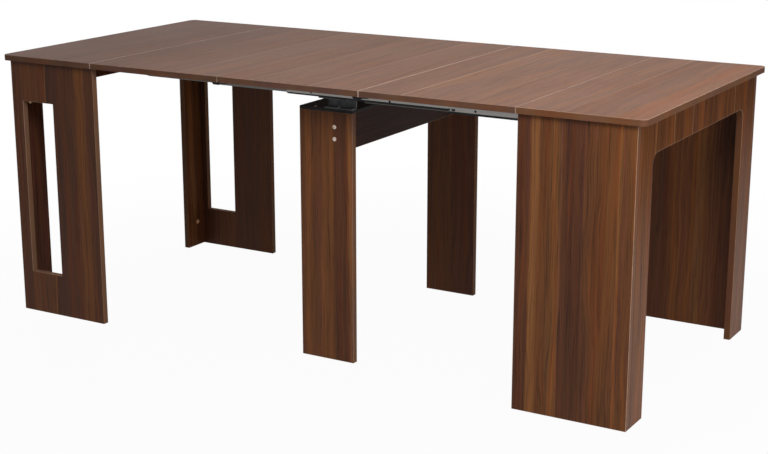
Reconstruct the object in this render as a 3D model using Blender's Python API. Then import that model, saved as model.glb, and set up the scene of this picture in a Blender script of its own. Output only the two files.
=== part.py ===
"""Extending dining table, drawn fully extended with its three loose leaves laid on.

A fixed end on the right and a moving end on the left each stand on two side panels and
one arched end panel. Six interlocking slide members on each long side join the ends, and
a support frame under the middle travels with one of the sliding stages.
Units are metres, +Z is up and +X runs from the moving end to the fixed end. The origin
lies on the floor under the middle of the extended table.
"""

import math

import bmesh
import bpy

# Whole table
TABLE_WIDTH = 0.900
TABLE_HEIGHT = 0.760
LEAF_COUNT = 3
FIT_GAP = 0.0003

# Boards
TOP_THICKNESS = 0.016
PANEL_THICKNESS = 0.018
END_TOP_LENGTH = 0.325
LEAF_LENGTH = 0.433
TOP_CORNER_RADIUS = 0.018

# End units
SIDE_INSET = 0.010
OUTER_INSET = 0.022
INNER_INSET = 0.001
END_LEG_WIDTH = 0.085
FIXED_APRON_DEPTH = 0.085
MOVING_APRON_DEPTH = 0.097
ARCH_RADIUS = 0.030
WINDOW_MARGIN = 0.039
WINDOW_WIDTH = 0.112
WINDOW_SILL = 0.122
WINDOW_TOP_MARGIN = 0.114

# Cam locks that draw the end panels against the side panels
CAM_RADIUS = 0.0075
CAM_FLOOR = 0.0055
CAM_SETBACK = 0.034
CAM_LOW_HEIGHT = 0.081
CAM_TOP_DROP = 0.124
CAM_SLOT_WIDTH = 0.002
CAM_SLOT_LENGTH = 0.010
CAM_SLOT_DEPTH = 0.0015

# Slide members, numbered from the fixed end to the moving end
SLIDE_COUNT = 6
SLIDE_PITCH = 0.0175
SLIDE_HEIGHT = 0.022
SLIDE_WALL = 0.0025
SLIDE_SLOT = 0.008
TONGUE_HEAD = 0.004
FIXED_SLIDE_GAP = 0.004
MOVING_SLIDE_GAP = 0.090
END_OVERLAP = 0.155
ACCESS_HOLE_RADIUS = 0.003
ACCESS_HOLE_SETBACK = 0.075

# Pan head screws of the slides and of the support frame's cover board
SCREW_RADIUS = 0.00175
SCREW_HEAD_RADIUS = 0.0035
SCREW_HEAD_HEIGHT = 0.002
SLIDE_SCREW_LENGTH = 0.010
SLIDE_SCREW_SETBACK = 0.040
COVER_SCREW_LENGTH = 0.030
COVER_SCREW_SPACING = 0.072

# Support frame, carried by one sliding stage
SUPPORT_STAGE = 2
SUPPORT_OFFSET = 0.016
SUPPORT_LEG_WIDTH = 0.162
SUPPORT_SETBACK = 0.091
SUPPORT_DROP = 0.034
CROSSBAR_OFF_CENTRE = 0.027
CROSSBAR_DEPTH = 0.110
COVER_THICKNESS = 0.008
BRACKET_LENGTH = 0.085
BRACKET_FOOT = 0.024
BRACKET_STEEL = 0.003
BOLT_SPACING = 0.032
BOLT_RADIUS = 0.003
BOLT_LENGTH = 0.048
BOLT_HEAD_RADIUS = 0.006
BOLT_HEAD_HEIGHT = 0.003

# Clips under the seams between the leaves
CLIP_SETBACK = 0.008
CLIP_WIDTH = 0.020
CLIP_REACH = 0.022
CLIP_BODY = 0.008
CLIP_TONGUE = 0.004

# Smoothness of round shapes
ARC_STEPS = 8
ROUND_SIDES = 20
SMOOTH_ANGLE = math.radians(40)
CUT_MARGIN = 0.002

# Colour, roughness and metallic value of each finish
WALNUT_TOP = ((0.235, 0.130, 0.090), 0.42, 0.0)
WALNUT_PANEL = ((0.120, 0.048, 0.026), 0.45, 0.0)
WALNUT_DARK = ((0.075, 0.034, 0.022), 0.48, 0.0)
ALUMINIUM = ((0.520, 0.520, 0.510), 0.32, 1.0)
BLACK_LAMINATE = ((0.018, 0.017, 0.017), 0.50, 0.0)
BLACK_STEEL = ((0.018, 0.018, 0.019), 0.45, 0.6)
BLACK_PLASTIC = ((0.016, 0.016, 0.017), 0.50, 0.0)
ZINC = ((0.620, 0.580, 0.500), 0.35, 1.0)
CAM_ZINC = ((0.560, 0.400, 0.200), 0.40, 1.0)

# Worked out from the sizes above
TABLE_LENGTH = 2 * END_TOP_LENGTH + LEAF_COUNT * LEAF_LENGTH + (LEAF_COUNT + 1) * FIT_GAP
TRAVEL = LEAF_COUNT * (LEAF_LENGTH + FIT_GAP)
UNDERSIDE = TABLE_HEIGHT - TOP_THICKNESS
PANEL_HEIGHT = UNDERSIDE - FIT_GAP
SIDE_PANEL_WIDTH = END_TOP_LENGTH - OUTER_INSET - INNER_INSET
INNER_FACE = TABLE_WIDTH / 2 - SIDE_INSET - PANEL_THICKNESS
END_PANEL_INNER = TABLE_LENGTH / 2 - OUTER_INSET - PANEL_THICKNESS
CLOSED_SPACE = 2 * (END_TOP_LENGTH - OUTER_INSET - PANEL_THICKNESS) + FIT_GAP
SLIDE_LENGTH = CLOSED_SPACE - FIXED_SLIDE_GAP - MOVING_SLIDE_GAP
SLIDE_WIDTH = SLIDE_PITCH - FIT_GAP
SLIDE_BOTTOM = UNDERSIDE - FIT_GAP - SLIDE_HEIGHT
FIXED_SLIDE_LEFT = END_PANEL_INNER - FIXED_SLIDE_GAP - SLIDE_LENGTH
STAGE_STROKE = (TRAVEL - SLIDE_LENGTH + END_OVERLAP) / (SLIDE_COUNT - 2)
SUPPORT_TOP = SLIDE_BOTTOM - SUPPORT_DROP
SUPPORT_LEFT = FIXED_SLIDE_LEFT - SUPPORT_STAGE * STAGE_STROKE + SUPPORT_OFFSET
SUPPORT_FACE = TABLE_WIDTH / 2 - SUPPORT_SETBACK
CROSSBAR_X = SUPPORT_LEFT + SUPPORT_LEG_WIDTH / 2 + CROSSBAR_OFF_CENTRE
COVER_BOTTOM = SUPPORT_TOP - COVER_THICKNESS
SUPPORT_LEG_TOP = COVER_BOTTOM - FIT_GAP

# The two long sides of the table, as the sign of Y
LONG_SIDES = {"front": -1, "rear": 1}


def clear_scene():
    """Remove every object that the scene starts with."""
    for item in list(bpy.data.objects):
        bpy.data.objects.remove(item, do_unlink=True)


def dress(item, finish):
    """Give an object its own plain material."""
    colour, roughness, metallic = finish
    material = bpy.data.materials.new(item.name)
    material.use_nodes = True
    shader = material.node_tree.nodes["Principled BSDF"]
    shader.inputs["Base Color"].default_value = (*colour, 1.0)
    shader.inputs["Roughness"].default_value = roughness
    shader.inputs["Metallic"].default_value = metallic
    item.data.materials.append(material)


def carrier(name, location):
    """An empty that stands for one moving group and holds its pieces."""
    empty = bpy.data.objects.new(name, None)
    empty.location = location
    bpy.context.scene.collection.objects.link(empty)
    return empty


def new_object(name, work, holder, location, finish=None):
    """Turn a bmesh into an object at a place in the table, held by a carrier."""
    bmesh.ops.recalc_face_normals(work, faces=work.faces)
    mesh = bpy.data.meshes.new(name)
    work.to_mesh(mesh)
    work.free()
    item = bpy.data.objects.new(name, mesh)
    bpy.context.scene.collection.objects.link(item)
    item.parent = holder
    item.location = [place - base for place, base in zip(location, holder.location)]
    if finish:
        dress(item, finish)
    return item


def prism(outline, depth, axis):
    """A closed prism: an outline in the plane across an axis, drawn out along that axis.

    The outline's two numbers are Y and Z for axis X, X and Z for axis Y, X and Y for axis Z.
    """
    order = {"X": (2, 0, 1), "Y": (0, 2, 1), "Z": (0, 1, 2)}[axis]

    def spot(u, v, w):
        flat = (u, v, w)
        return [flat[index] for index in order]

    work = bmesh.new()
    corners = [work.verts.new(spot(u, v, 0.0)) for u, v in outline]
    face = work.faces.new(corners)
    drawn = bmesh.ops.extrude_face_region(work, geom=[face])["geom"]
    moved = [part for part in drawn if isinstance(part, bmesh.types.BMVert)]
    bmesh.ops.translate(work, verts=moved, vec=spot(0.0, 0.0, depth))
    return work


def lathe(profile, axis):
    """A closed turned shape from (radius, distance) pairs that start and end on the axis."""
    turns = {"X": (2, 0, 1), "Y": (0, 2, 1), "Z": (0, 1, 2)}[axis]
    work = bmesh.new()
    rings = []
    for radius, along in profile[1:-1]:
        ring = []
        for step in range(ROUND_SIDES):
            angle = 2 * math.pi * step / ROUND_SIDES
            flat = (radius * math.cos(angle), radius * math.sin(angle), along)
            ring.append(work.verts.new([flat[index] for index in turns]))
        rings.append(ring)
    for low, high in zip(rings, rings[1:]):
        for step in range(ROUND_SIDES):
            after = (step + 1) % ROUND_SIDES
            work.faces.new((low[step], low[after], high[after], high[step]))
    work.faces.new(rings[0])
    work.faces.new(rings[-1])
    return work


def smooth(item):
    """Shade a round piece smooth, with its edges kept sharp."""
    item.data.shade_smooth()
    item.data.set_sharp_from_angle(angle=SMOOTH_ANGLE)


def rectangle(low, high):
    """The four corners of an upright rectangle."""
    return [(low[0], low[1]), (high[0], low[1]), (high[0], high[1]), (low[0], high[1])]


def arc(centre, radius, start, end):
    """Points along an arc, from one angle to another, in degrees."""
    points = []
    for step in range(ARC_STEPS + 1):
        angle = math.radians(start + (end - start) * step / ARC_STEPS)
        points.append((centre[0] + radius * math.cos(angle), centre[1] + radius * math.sin(angle)))
    return points


def cut(item, cutter):
    """Cut one object out of another, and keep the cutter as a hidden guide."""
    cutter.display_type = "WIRE"
    cutter.hide_render = True
    boolean = item.modifiers.new(cutter.name, "BOOLEAN")
    boolean.operation = "DIFFERENCE"
    boolean.solver = "EXACT"
    boolean.object = cutter


def bore(item, name, holder, mouth, axis, radius, depth):
    """Drill a round blind hole from a mouth point along an axis. A negative depth drills backwards."""
    start = -math.copysign(CUT_MARGIN, depth)
    profile = [(0.0, start), (radius, start), (radius, depth), (0.0, depth)]
    cut(item, new_object(name, lathe(profile, axis), holder, mouth))


def end_top(prefix, direction, holder):
    """End top board, with its two outer corners rounded."""
    half = TABLE_WIDTH / 2
    straight = END_TOP_LENGTH - TOP_CORNER_RADIUS
    turn = half - TOP_CORNER_RADIUS
    outline = [(0.0, -half)]
    outline += arc((straight, -turn), TOP_CORNER_RADIUS, -90, 0)
    outline += arc((straight, turn), TOP_CORNER_RADIUS, 0, 90)
    outline += [(0.0, half)]
    outline = [(direction * x, y) for x, y in outline]
    place = (direction * (TABLE_LENGTH / 2 - END_TOP_LENGTH), 0.0, UNDERSIDE)
    return new_object(f"{prefix}_end_top", prism(outline, TOP_THICKNESS, "Z"), holder, place, WALNUT_TOP)


def side_panel(prefix, direction, long_side, holder, windowed):
    """Side panel under an end top, with a tall window where it has one."""
    sign = LONG_SIDES[long_side]
    outer = TABLE_LENGTH / 2 - OUTER_INSET
    ends = sorted((direction * outer, direction * (outer - SIDE_PANEL_WIDTH)))
    name = f"{prefix}_{long_side}_side_panel"
    place = (0.0, sign * INNER_FACE, 0.0)
    outline = rectangle((ends[0], 0.0), (ends[1], PANEL_HEIGHT))
    panel = new_object(name, prism(outline, sign * PANEL_THICKNESS, "Y"), holder, place, WALNUT_PANEL)
    if windowed:
        near = direction * (outer - WINDOW_MARGIN)
        far = direction * (outer - WINDOW_MARGIN - WINDOW_WIDTH)
        low = (min(near, far), WINDOW_SILL)
        high = (max(near, far), PANEL_HEIGHT - WINDOW_TOP_MARGIN)
        thick = sign * (PANEL_THICKNESS + 2 * CUT_MARGIN)
        mouth = (0.0, sign * (INNER_FACE - CUT_MARGIN), 0.0)
        window = prism(rectangle(low, high), thick, "Y")
        cut(panel, new_object(f"{name}_window_cut", window, holder, mouth))
    return panel


def end_panel(prefix, direction, holder, apron_depth):
    """Arched end panel: two legs and an apron in one board, between the side panels."""
    half = INNER_FACE - FIT_GAP
    leg = half - END_LEG_WIDTH
    turn = leg - ARCH_RADIUS
    crown = PANEL_HEIGHT - apron_depth
    outline = [(-half, 0.0), (-leg, 0.0)]
    outline += arc((-turn, crown - ARCH_RADIUS), ARCH_RADIUS, 180, 90)
    outline += arc((turn, crown - ARCH_RADIUS), ARCH_RADIUS, 90, 0)
    outline += [(leg, 0.0), (half, 0.0), (half, PANEL_HEIGHT), (-half, PANEL_HEIGHT)]
    board = prism(outline, direction * PANEL_THICKNESS, "X")
    place = (direction * END_PANEL_INNER, 0.0, 0.0)
    return new_object(f"{prefix}_end_panel", board, holder, place, WALNUT_PANEL)


def cam_lock(prefix, direction, long_side, level, height, panel, holder):
    """Cam lock let into the inner face of an end panel's leg."""
    name = f"{prefix}_{long_side}_{level}_cam_lock"
    place = (direction * END_PANEL_INNER, LONG_SIDES[long_side] * (INNER_FACE - CAM_SETBACK), height)
    depth = direction * (PANEL_THICKNESS - CAM_FLOOR)
    profile = [(0.0, 0.0), (CAM_RADIUS, 0.0), (CAM_RADIUS, depth), (0.0, depth)]
    cam = new_object(name, lathe(profile, "X"), holder, place, CAM_ZINC)
    smooth(cam)
    bore(panel, f"{name}_bore", holder, place, "X", CAM_RADIUS + FIT_GAP, depth + direction * FIT_GAP)
    low = (-CAM_SLOT_LENGTH / 2, -CAM_SLOT_WIDTH / 2)
    high = (CAM_SLOT_LENGTH / 2, CAM_SLOT_WIDTH / 2)
    slot = prism(rectangle(low, high), direction * (CAM_SLOT_DEPTH + CUT_MARGIN), "X")
    mouth = (place[0] - direction * CUT_MARGIN, place[1], place[2])
    cut(cam, new_object(f"{name}_slot_cut", slot, holder, mouth))


def end_unit(prefix, direction, holder, apron_depth, windowed):
    """One end of the table: its top, its panels and their cam locks. Returns top and side panels."""
    top = end_top(prefix, direction, holder)
    panel = end_panel(prefix, direction, holder, apron_depth)
    sides = {}
    for long_side in LONG_SIDES:
        sides[long_side] = side_panel(prefix, direction, long_side, holder, windowed)
        for level, height in (("lower", CAM_LOW_HEIGHT), ("upper", PANEL_HEIGHT - CAM_TOP_DROP)):
            cam_lock(prefix, direction, long_side, level, height, panel, holder)
    return top, sides


def leaf(name, index, holder):
    """Loose leaf, a plain board between the two end tops."""
    left = -TABLE_LENGTH / 2 + END_TOP_LENGTH + FIT_GAP + index * (LEAF_LENGTH + FIT_GAP)
    outline = rectangle((0.0, -TABLE_WIDTH / 2), (LEAF_LENGTH, TABLE_WIDTH / 2))
    place = (left, 0.0, UNDERSIDE)
    new_object(name, prism(outline, TOP_THICKNESS, "Z"), holder, place, WALNUT_TOP)


def leaf_clip(name, index, long_side, holder):
    """Clip under a leaf's right edge, whose tongue reaches under the next leaf."""
    sign = LONG_SIDES[long_side]
    seam = -TABLE_LENGTH / 2 + END_TOP_LENGTH + (index + 1) * (LEAF_LENGTH + FIT_GAP)
    slope = CLIP_BODY - CLIP_TONGUE
    outline = [(-CLIP_REACH, 0.0), (-CLIP_REACH, -CLIP_TONGUE), (-CLIP_REACH + slope, -CLIP_BODY)]
    outline += [(0.0, -CLIP_BODY), (slope, -CLIP_TONGUE), (CLIP_REACH, -CLIP_TONGUE), (CLIP_REACH, 0.0)]
    place = (seam, sign * (TABLE_WIDTH / 2 - CLIP_SETBACK), UNDERSIDE - FIT_GAP)
    new_object(name, prism(outline, -sign * CLIP_WIDTH, "Y"), holder, place, BLACK_PLASTIC)


def slide_outline(tongued, sign):
    """Section of a slide member, inwards from its outer face: a lipped channel with a tongue outside."""
    width, height, wall = SLIDE_WIDTH, SLIDE_HEIGHT, SLIDE_WALL
    low = (height - SLIDE_SLOT) / 2
    high = (height + SLIDE_SLOT) / 2
    outline = [(0.0, 0.0), (width, 0.0), (width, low), (width - wall, low), (width - wall, wall)]
    outline += [(wall, wall), (wall, height - wall), (width - wall, height - wall)]
    outline += [(width - wall, high), (width, high), (width, height), (0.0, height)]
    if tongued:
        neck = 2 * FIT_GAP + wall
        head = neck + TONGUE_HEAD
        outline += [(0.0, high - FIT_GAP), (-neck, high - FIT_GAP), (-neck, height - wall - FIT_GAP)]
        outline += [(-head, height - wall - FIT_GAP), (-head, wall + FIT_GAP), (-neck, wall + FIT_GAP)]
        outline += [(-neck, low + FIT_GAP), (0.0, low + FIT_GAP)]
    return [(-sign * inward, up) for inward, up in outline]


def slide_left(stage):
    """Left end of a slide member in the extended table."""
    if stage == SLIDE_COUNT - 1:
        return FIXED_SLIDE_LEFT - TRAVEL
    return FIXED_SLIDE_LEFT - stage * STAGE_STROKE


def slide_face(stage):
    """Distance from the table's middle plane to the outer face of a slide member."""
    return INNER_FACE - FIT_GAP - stage * SLIDE_PITCH


def slide_member(stage, long_side, holder):
    """One slide member, with an access hole near its left end."""
    sign = LONG_SIDES[long_side]
    name = f"{long_side}_slide_{stage + 1}"
    place = (slide_left(stage), sign * slide_face(stage), SLIDE_BOTTOM)
    body = prism(slide_outline(stage > 0, sign), SLIDE_LENGTH, "X")
    member = new_object(name, body, holder, place, ALUMINIUM)
    reach = 2 * FIT_GAP + SLIDE_WALL + TONGUE_HEAD + CUT_MARGIN
    mouth = (place[0] + ACCESS_HOLE_SETBACK, place[1] + sign * reach, SLIDE_BOTTOM + SLIDE_HEIGHT / 2)
    through = -sign * (reach + SLIDE_WALL + CUT_MARGIN)
    bore(member, f"{name}_access", holder, mouth, "Y", ACCESS_HOLE_RADIUS, through)
    return member


def screw(name, place, axis, sense, length, clamped, thickness, into, holder):
    """Pan head screw, driven along an axis through clamped pieces into a board.

    The place is where it leaves the clamped pieces, and the thickness is theirs together.
    """
    seat = -sense * (thickness + FIT_GAP)
    head = seat - sense * SCREW_HEAD_HEIGHT
    tip = sense * (length - thickness)
    profile = [(0.0, head), (SCREW_HEAD_RADIUS, head), (SCREW_HEAD_RADIUS, seat)]
    profile += [(SCREW_RADIUS, seat), (SCREW_RADIUS, tip), (0.0, tip)]
    item = new_object(name, lathe(profile, axis), holder, place, ZINC)
    smooth(item)
    hole = SCREW_RADIUS + FIT_GAP
    bore(into, f"{name}_pilot", holder, place, axis, hole, tip + sense * FIT_GAP)
    for piece in clamped:
        bore(piece, f"{name}_{piece.name}_hole", holder, place, axis, hole, seat - sense * CUT_MARGIN)


def slide_screw(name, place, axis, sense, member, board, holder):
    """Screw from inside a slide member, through its wall into a board."""
    screw(name, place, axis, sense, SLIDE_SCREW_LENGTH, [member], SLIDE_WALL, board, holder)


def fixed_slide(long_side, panel, holder):
    """First slide member, screwed sideways to the fixed end's side panel."""
    sign = LONG_SIDES[long_side]
    member = slide_member(0, long_side, holder)
    panel_edge = TABLE_LENGTH / 2 - OUTER_INSET - SIDE_PANEL_WIDTH
    slide_end = slide_left(0) + SLIDE_LENGTH
    for number, along in ((1, panel_edge + SLIDE_SCREW_SETBACK), (2, slide_end - SLIDE_SCREW_SETBACK)):
        place = (along, sign * slide_face(0), SLIDE_BOTTOM + SLIDE_HEIGHT / 2)
        slide_screw(f"{long_side}_fixed_slide_screw_{number}", place, "Y", sign, member, panel, holder)


def moving_slide(long_side, top, holder):
    """Last slide member, screwed upwards to the moving end's top."""
    sign = LONG_SIDES[long_side]
    member = slide_member(SLIDE_COUNT - 1, long_side, holder)
    slide_end = slide_left(SLIDE_COUNT - 1)
    top_edge = END_TOP_LENGTH - TABLE_LENGTH / 2
    middle = slide_face(SLIDE_COUNT - 1) - SLIDE_WIDTH / 2
    for number, along in ((1, slide_end + SLIDE_SCREW_SETBACK), (2, top_edge - SLIDE_SCREW_SETBACK)):
        place = (along, sign * middle, UNDERSIDE - FIT_GAP)
        slide_screw(f"{long_side}_moving_slide_screw_{number}", place, "Z", 1, member, top, holder)


def support_leg(long_side, holder):
    """Support leg, a board with its wide face to the long side."""
    sign = LONG_SIDES[long_side]
    outline = rectangle((0.0, 0.0), (SUPPORT_LEG_WIDTH, SUPPORT_LEG_TOP))
    place = (SUPPORT_LEFT, sign * SUPPORT_FACE, 0.0)
    board = prism(outline, -sign * PANEL_THICKNESS, "Y")
    return new_object(f"support_{long_side}_leg", board, holder, place, WALNUT_PANEL)


def support_crossbar(holder):
    """Upright board between the support legs."""
    half = SUPPORT_FACE - PANEL_THICKNESS - FIT_GAP
    upright = rectangle((-half, 0.0), (half, CROSSBAR_DEPTH))
    place = (CROSSBAR_X - PANEL_THICKNESS / 2, 0.0, SUPPORT_LEG_TOP - CROSSBAR_DEPTH)
    return new_object("support_crossbar", prism(upright, PANEL_THICKNESS, "X"), holder, place, WALNUT_DARK)


def support_cover(holder):
    """Thin black board on top of the support legs and the crossbar."""
    flat = rectangle((0.0, -SUPPORT_FACE), (SUPPORT_LEG_WIDTH, SUPPORT_FACE))
    place = (SUPPORT_LEFT, 0.0, COVER_BOTTOM)
    return new_object("support_top_board", prism(flat, COVER_THICKNESS, "Z"), holder, place, BLACK_LAMINATE)


def support_bracket(long_side, holder):
    """Bent steel bracket, a foot, a riser and a flange, from the cover board up to its slide member."""
    sign = LONG_SIDES[long_side]
    slide_outer = SUPPORT_FACE - slide_face(SUPPORT_STAGE)
    outer = min(slide_outer, 0.0)
    inner = max(slide_outer + SLIDE_WIDTH, BRACKET_FOOT)
    riser = inner - BRACKET_STEEL
    low = SUPPORT_TOP + FIT_GAP
    high = SLIDE_BOTTOM - FIT_GAP
    outline = [(0.0, low), (inner, low), (inner, high), (outer, high), (outer, high - BRACKET_STEEL)]
    outline += [(riser, high - BRACKET_STEEL), (riser, low + BRACKET_STEEL), (0.0, low + BRACKET_STEEL)]
    outline = [(-sign * inward, up) for inward, up in outline]
    place = (SUPPORT_LEFT + SUPPORT_LEG_WIDTH - BRACKET_LENGTH, sign * SUPPORT_FACE, 0.0)
    bent = prism(outline, BRACKET_LENGTH, "X")
    return new_object(f"support_{long_side}_bracket", bent, holder, place, BLACK_STEEL)


def cover_screws(long_side, cover, bracket, leg, holder):
    """Two screws through the cover board into a support leg, one of them also through the bracket's foot."""
    inset = LONG_SIDES[long_side] * (SUPPORT_FACE - PANEL_THICKNESS / 2)
    middle = SUPPORT_LEFT + SUPPORT_LEG_WIDTH / 2
    with_bracket = COVER_THICKNESS + FIT_GAP + BRACKET_STEEL
    for number, shift, clamped, thickness in (
        (1, -COVER_SCREW_SPACING / 2, [cover], COVER_THICKNESS),
        (2, COVER_SCREW_SPACING / 2, [cover, bracket], with_bracket),
    ):
        name = f"support_{long_side}_cover_screw_{number}"
        place = (middle + shift, inset, COVER_BOTTOM)
        screw(name, place, "Z", -1, COVER_SCREW_LENGTH, clamped, thickness, leg, holder)


def support_bolt(long_side, level, height, leg, crossbar, holder):
    """Domed bolt through a support leg into the end of the crossbar."""
    sign = LONG_SIDES[long_side]
    name = f"support_{long_side}_{level}_bolt"
    place = (CROSSBAR_X, sign * SUPPORT_FACE, height)
    seat = sign * FIT_GAP
    rim = sign * (FIT_GAP + BOLT_HEAD_HEIGHT / 2)
    crown = sign * (FIT_GAP + BOLT_HEAD_HEIGHT)
    tip = -sign * BOLT_LENGTH
    profile = [(0.0, crown), (BOLT_HEAD_RADIUS / 2, crown), (BOLT_HEAD_RADIUS, rim)]
    profile += [(BOLT_HEAD_RADIUS, seat), (BOLT_RADIUS, seat), (BOLT_RADIUS, tip), (0.0, tip)]
    smooth(new_object(name, lathe(profile, "Y"), holder, place, ZINC))
    hole = BOLT_RADIUS + FIT_GAP
    bore(leg, f"{name}_leg_hole", holder, place, "Y", hole, -sign * (PANEL_THICKNESS + CUT_MARGIN))
    bore(crossbar, f"{name}_bar_hole", holder, place, "Y", hole, tip - sign * FIT_GAP)


def support_frame(holder):
    """Support frame under the middle: crossbar, cover board, legs, brackets, screws and bolts."""
    crossbar = support_crossbar(holder)
    cover = support_cover(holder)
    middle = SUPPORT_LEG_TOP - CROSSBAR_DEPTH / 2
    for long_side in LONG_SIDES:
        leg = support_leg(long_side, holder)
        bracket = support_bracket(long_side, holder)
        cover_screws(long_side, cover, bracket, leg, holder)
        for level, shift in (("upper", BOLT_SPACING / 2), ("lower", -BOLT_SPACING / 2)):
            support_bolt(long_side, level, middle + shift, leg, crossbar, holder)


def main():
    """Build the whole table, one moving group at a time."""
    clear_scene()
    slide_level = SLIDE_BOTTOM + SLIDE_HEIGHT / 2
    fixed_end = carrier("fixed_end", (TABLE_LENGTH / 2, 0.0, 0.0))
    fixed_sides = end_unit("right", 1, fixed_end, FIXED_APRON_DEPTH, False)[1]
    moving_end = carrier("moving_end", (-TABLE_LENGTH / 2, 0.0, slide_level))
    moving_top = end_unit("left", -1, moving_end, MOVING_APRON_DEPTH, True)[0]
    for long_side in LONG_SIDES:
        fixed_slide(long_side, fixed_sides[long_side], fixed_end)
        moving_slide(long_side, moving_top, moving_end)
    for stage in range(1, SLIDE_COUNT - 1):
        holder = carrier(f"slide_stage_{stage}", (slide_left(stage), 0.0, slide_level))
        for long_side in LONG_SIDES:
            slide_member(stage, long_side, holder)
        if stage == SUPPORT_STAGE:
            support_frame(holder)
    for index in range(LEAF_COUNT):
        name = f"leaf_{index + 1}"
        holder = carrier(f"{name}_lift", (0.0, 0.0, UNDERSIDE))
        leaf(name, index, holder)
        if index < LEAF_COUNT - 1:
            for long_side in LONG_SIDES:
                leaf_clip(f"{name}_{long_side}_clip", index, long_side, holder)


main()
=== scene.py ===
"""The extending dining table as photographed: boards, fittings, finishes, light and camera.

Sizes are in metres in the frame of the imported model, with X along the table, Y across it and Z up.
"""

from __future__ import annotations

import logging
import math
from dataclasses import dataclass, field, replace
from enum import Enum
from functools import partial, reduce
from typing import Union

import bpy
import numpy as np
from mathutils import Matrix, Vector

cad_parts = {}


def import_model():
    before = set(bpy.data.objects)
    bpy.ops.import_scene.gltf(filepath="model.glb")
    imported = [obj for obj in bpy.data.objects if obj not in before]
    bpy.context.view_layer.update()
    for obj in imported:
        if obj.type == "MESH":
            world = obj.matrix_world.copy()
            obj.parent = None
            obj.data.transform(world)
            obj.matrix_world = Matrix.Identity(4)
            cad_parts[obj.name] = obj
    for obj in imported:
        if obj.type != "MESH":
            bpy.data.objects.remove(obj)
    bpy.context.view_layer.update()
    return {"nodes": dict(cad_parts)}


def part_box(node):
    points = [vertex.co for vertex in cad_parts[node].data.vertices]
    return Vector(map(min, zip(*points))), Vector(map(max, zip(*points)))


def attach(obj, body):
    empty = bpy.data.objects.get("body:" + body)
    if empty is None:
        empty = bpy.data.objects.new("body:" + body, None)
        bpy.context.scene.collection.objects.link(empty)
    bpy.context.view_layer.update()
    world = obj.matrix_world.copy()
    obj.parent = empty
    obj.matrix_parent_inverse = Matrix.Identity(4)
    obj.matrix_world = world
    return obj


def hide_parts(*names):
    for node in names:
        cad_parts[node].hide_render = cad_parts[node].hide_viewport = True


LOG = logging.getLogger("dining_table")

Array = np.ndarray
Pair = tuple[float, float]
Triple = tuple[float, float, float]
Material = bpy.types.Material
Piece = bpy.types.Object
Socket = bpy.types.NodeSocket
Value = Union[Socket, float, Triple]

# Flat run beside a rounding, and clearance under a fastener's head.
EASE = 0.0003
LEAST_RADIUS = 0.00005
SMOOTH_ANGLE = math.radians(32.0)
RIGHT_ANGLE = math.pi / 2


class Axis(Enum):
    """A direction of the table, by its place among coordinates."""

    LENGTH = 0
    WIDTH = 1
    HEIGHT = 2


class Lie(Enum):
    """Axes along which a board's outline and its thickness run."""

    FLAT = (0, 1, 2)
    LONG_SIDE = (0, 2, 1)
    END = (1, 2, 0)

    @property
    def mirrored(self) -> bool:
        """Whether the axes are left-handed, so that faces have to be turned round."""
        return self is Lie.LONG_SIDE


class Side(Enum):
    """A side of the table, by the sign of the axis that it stands on."""

    @property
    def label(self) -> str:
        """Word for this side in the names of pieces."""
        return self.name.lower()

    def outward(self, pair: Pair) -> Pair:
        """Turn a pair in order along the axis into outer and inner, or the other way round."""
        return pair if self.value < 0 else pair[::-1]


class TableEnd(Side):
    """The two ends of the table, along X."""

    LEFT = -1
    RIGHT = 1

    @property
    def body(self) -> str:
        """Body that this end's pieces move with."""
        return "fixed_end" if self is TableEnd.RIGHT else "moving_end"


class LongSide(Side):
    """The two long sides of the table, along Y."""

    FRONT = -1
    REAR = 1


class Recess(Enum):
    """Driver recess in the head of a screw or bolt."""

    HEX = "hex"
    CROSS = "cross"

    def share(self, angle: Array) -> Array:
        """Radius of the recess at each angle as a share of its widest radius.

        A hexagon's radius is cos 30 over the cosine of the angle from the nearest flat. A cross
        swings between a narrow waist and four arms with the sixth power of the cosine of twice
        the angle.

        Args:
            angle: Angles round the axis, in radians.

        Returns:
            The share at each angle.
        """
        if self is Recess.HEX:
            sector = np.pi / 3
            return math.cos(sector / 2) / np.cos(np.mod(angle, sector) - sector / 2)
        waist, arm = 0.34, 0.66
        return waist + arm * np.cos(2 * angle) ** 6


def placed(points: Array, order: tuple[int, ...]) -> Array:
    """Points with each coordinate moved to the axis that the order names for it."""
    return points[..., np.argsort(order)]


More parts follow.
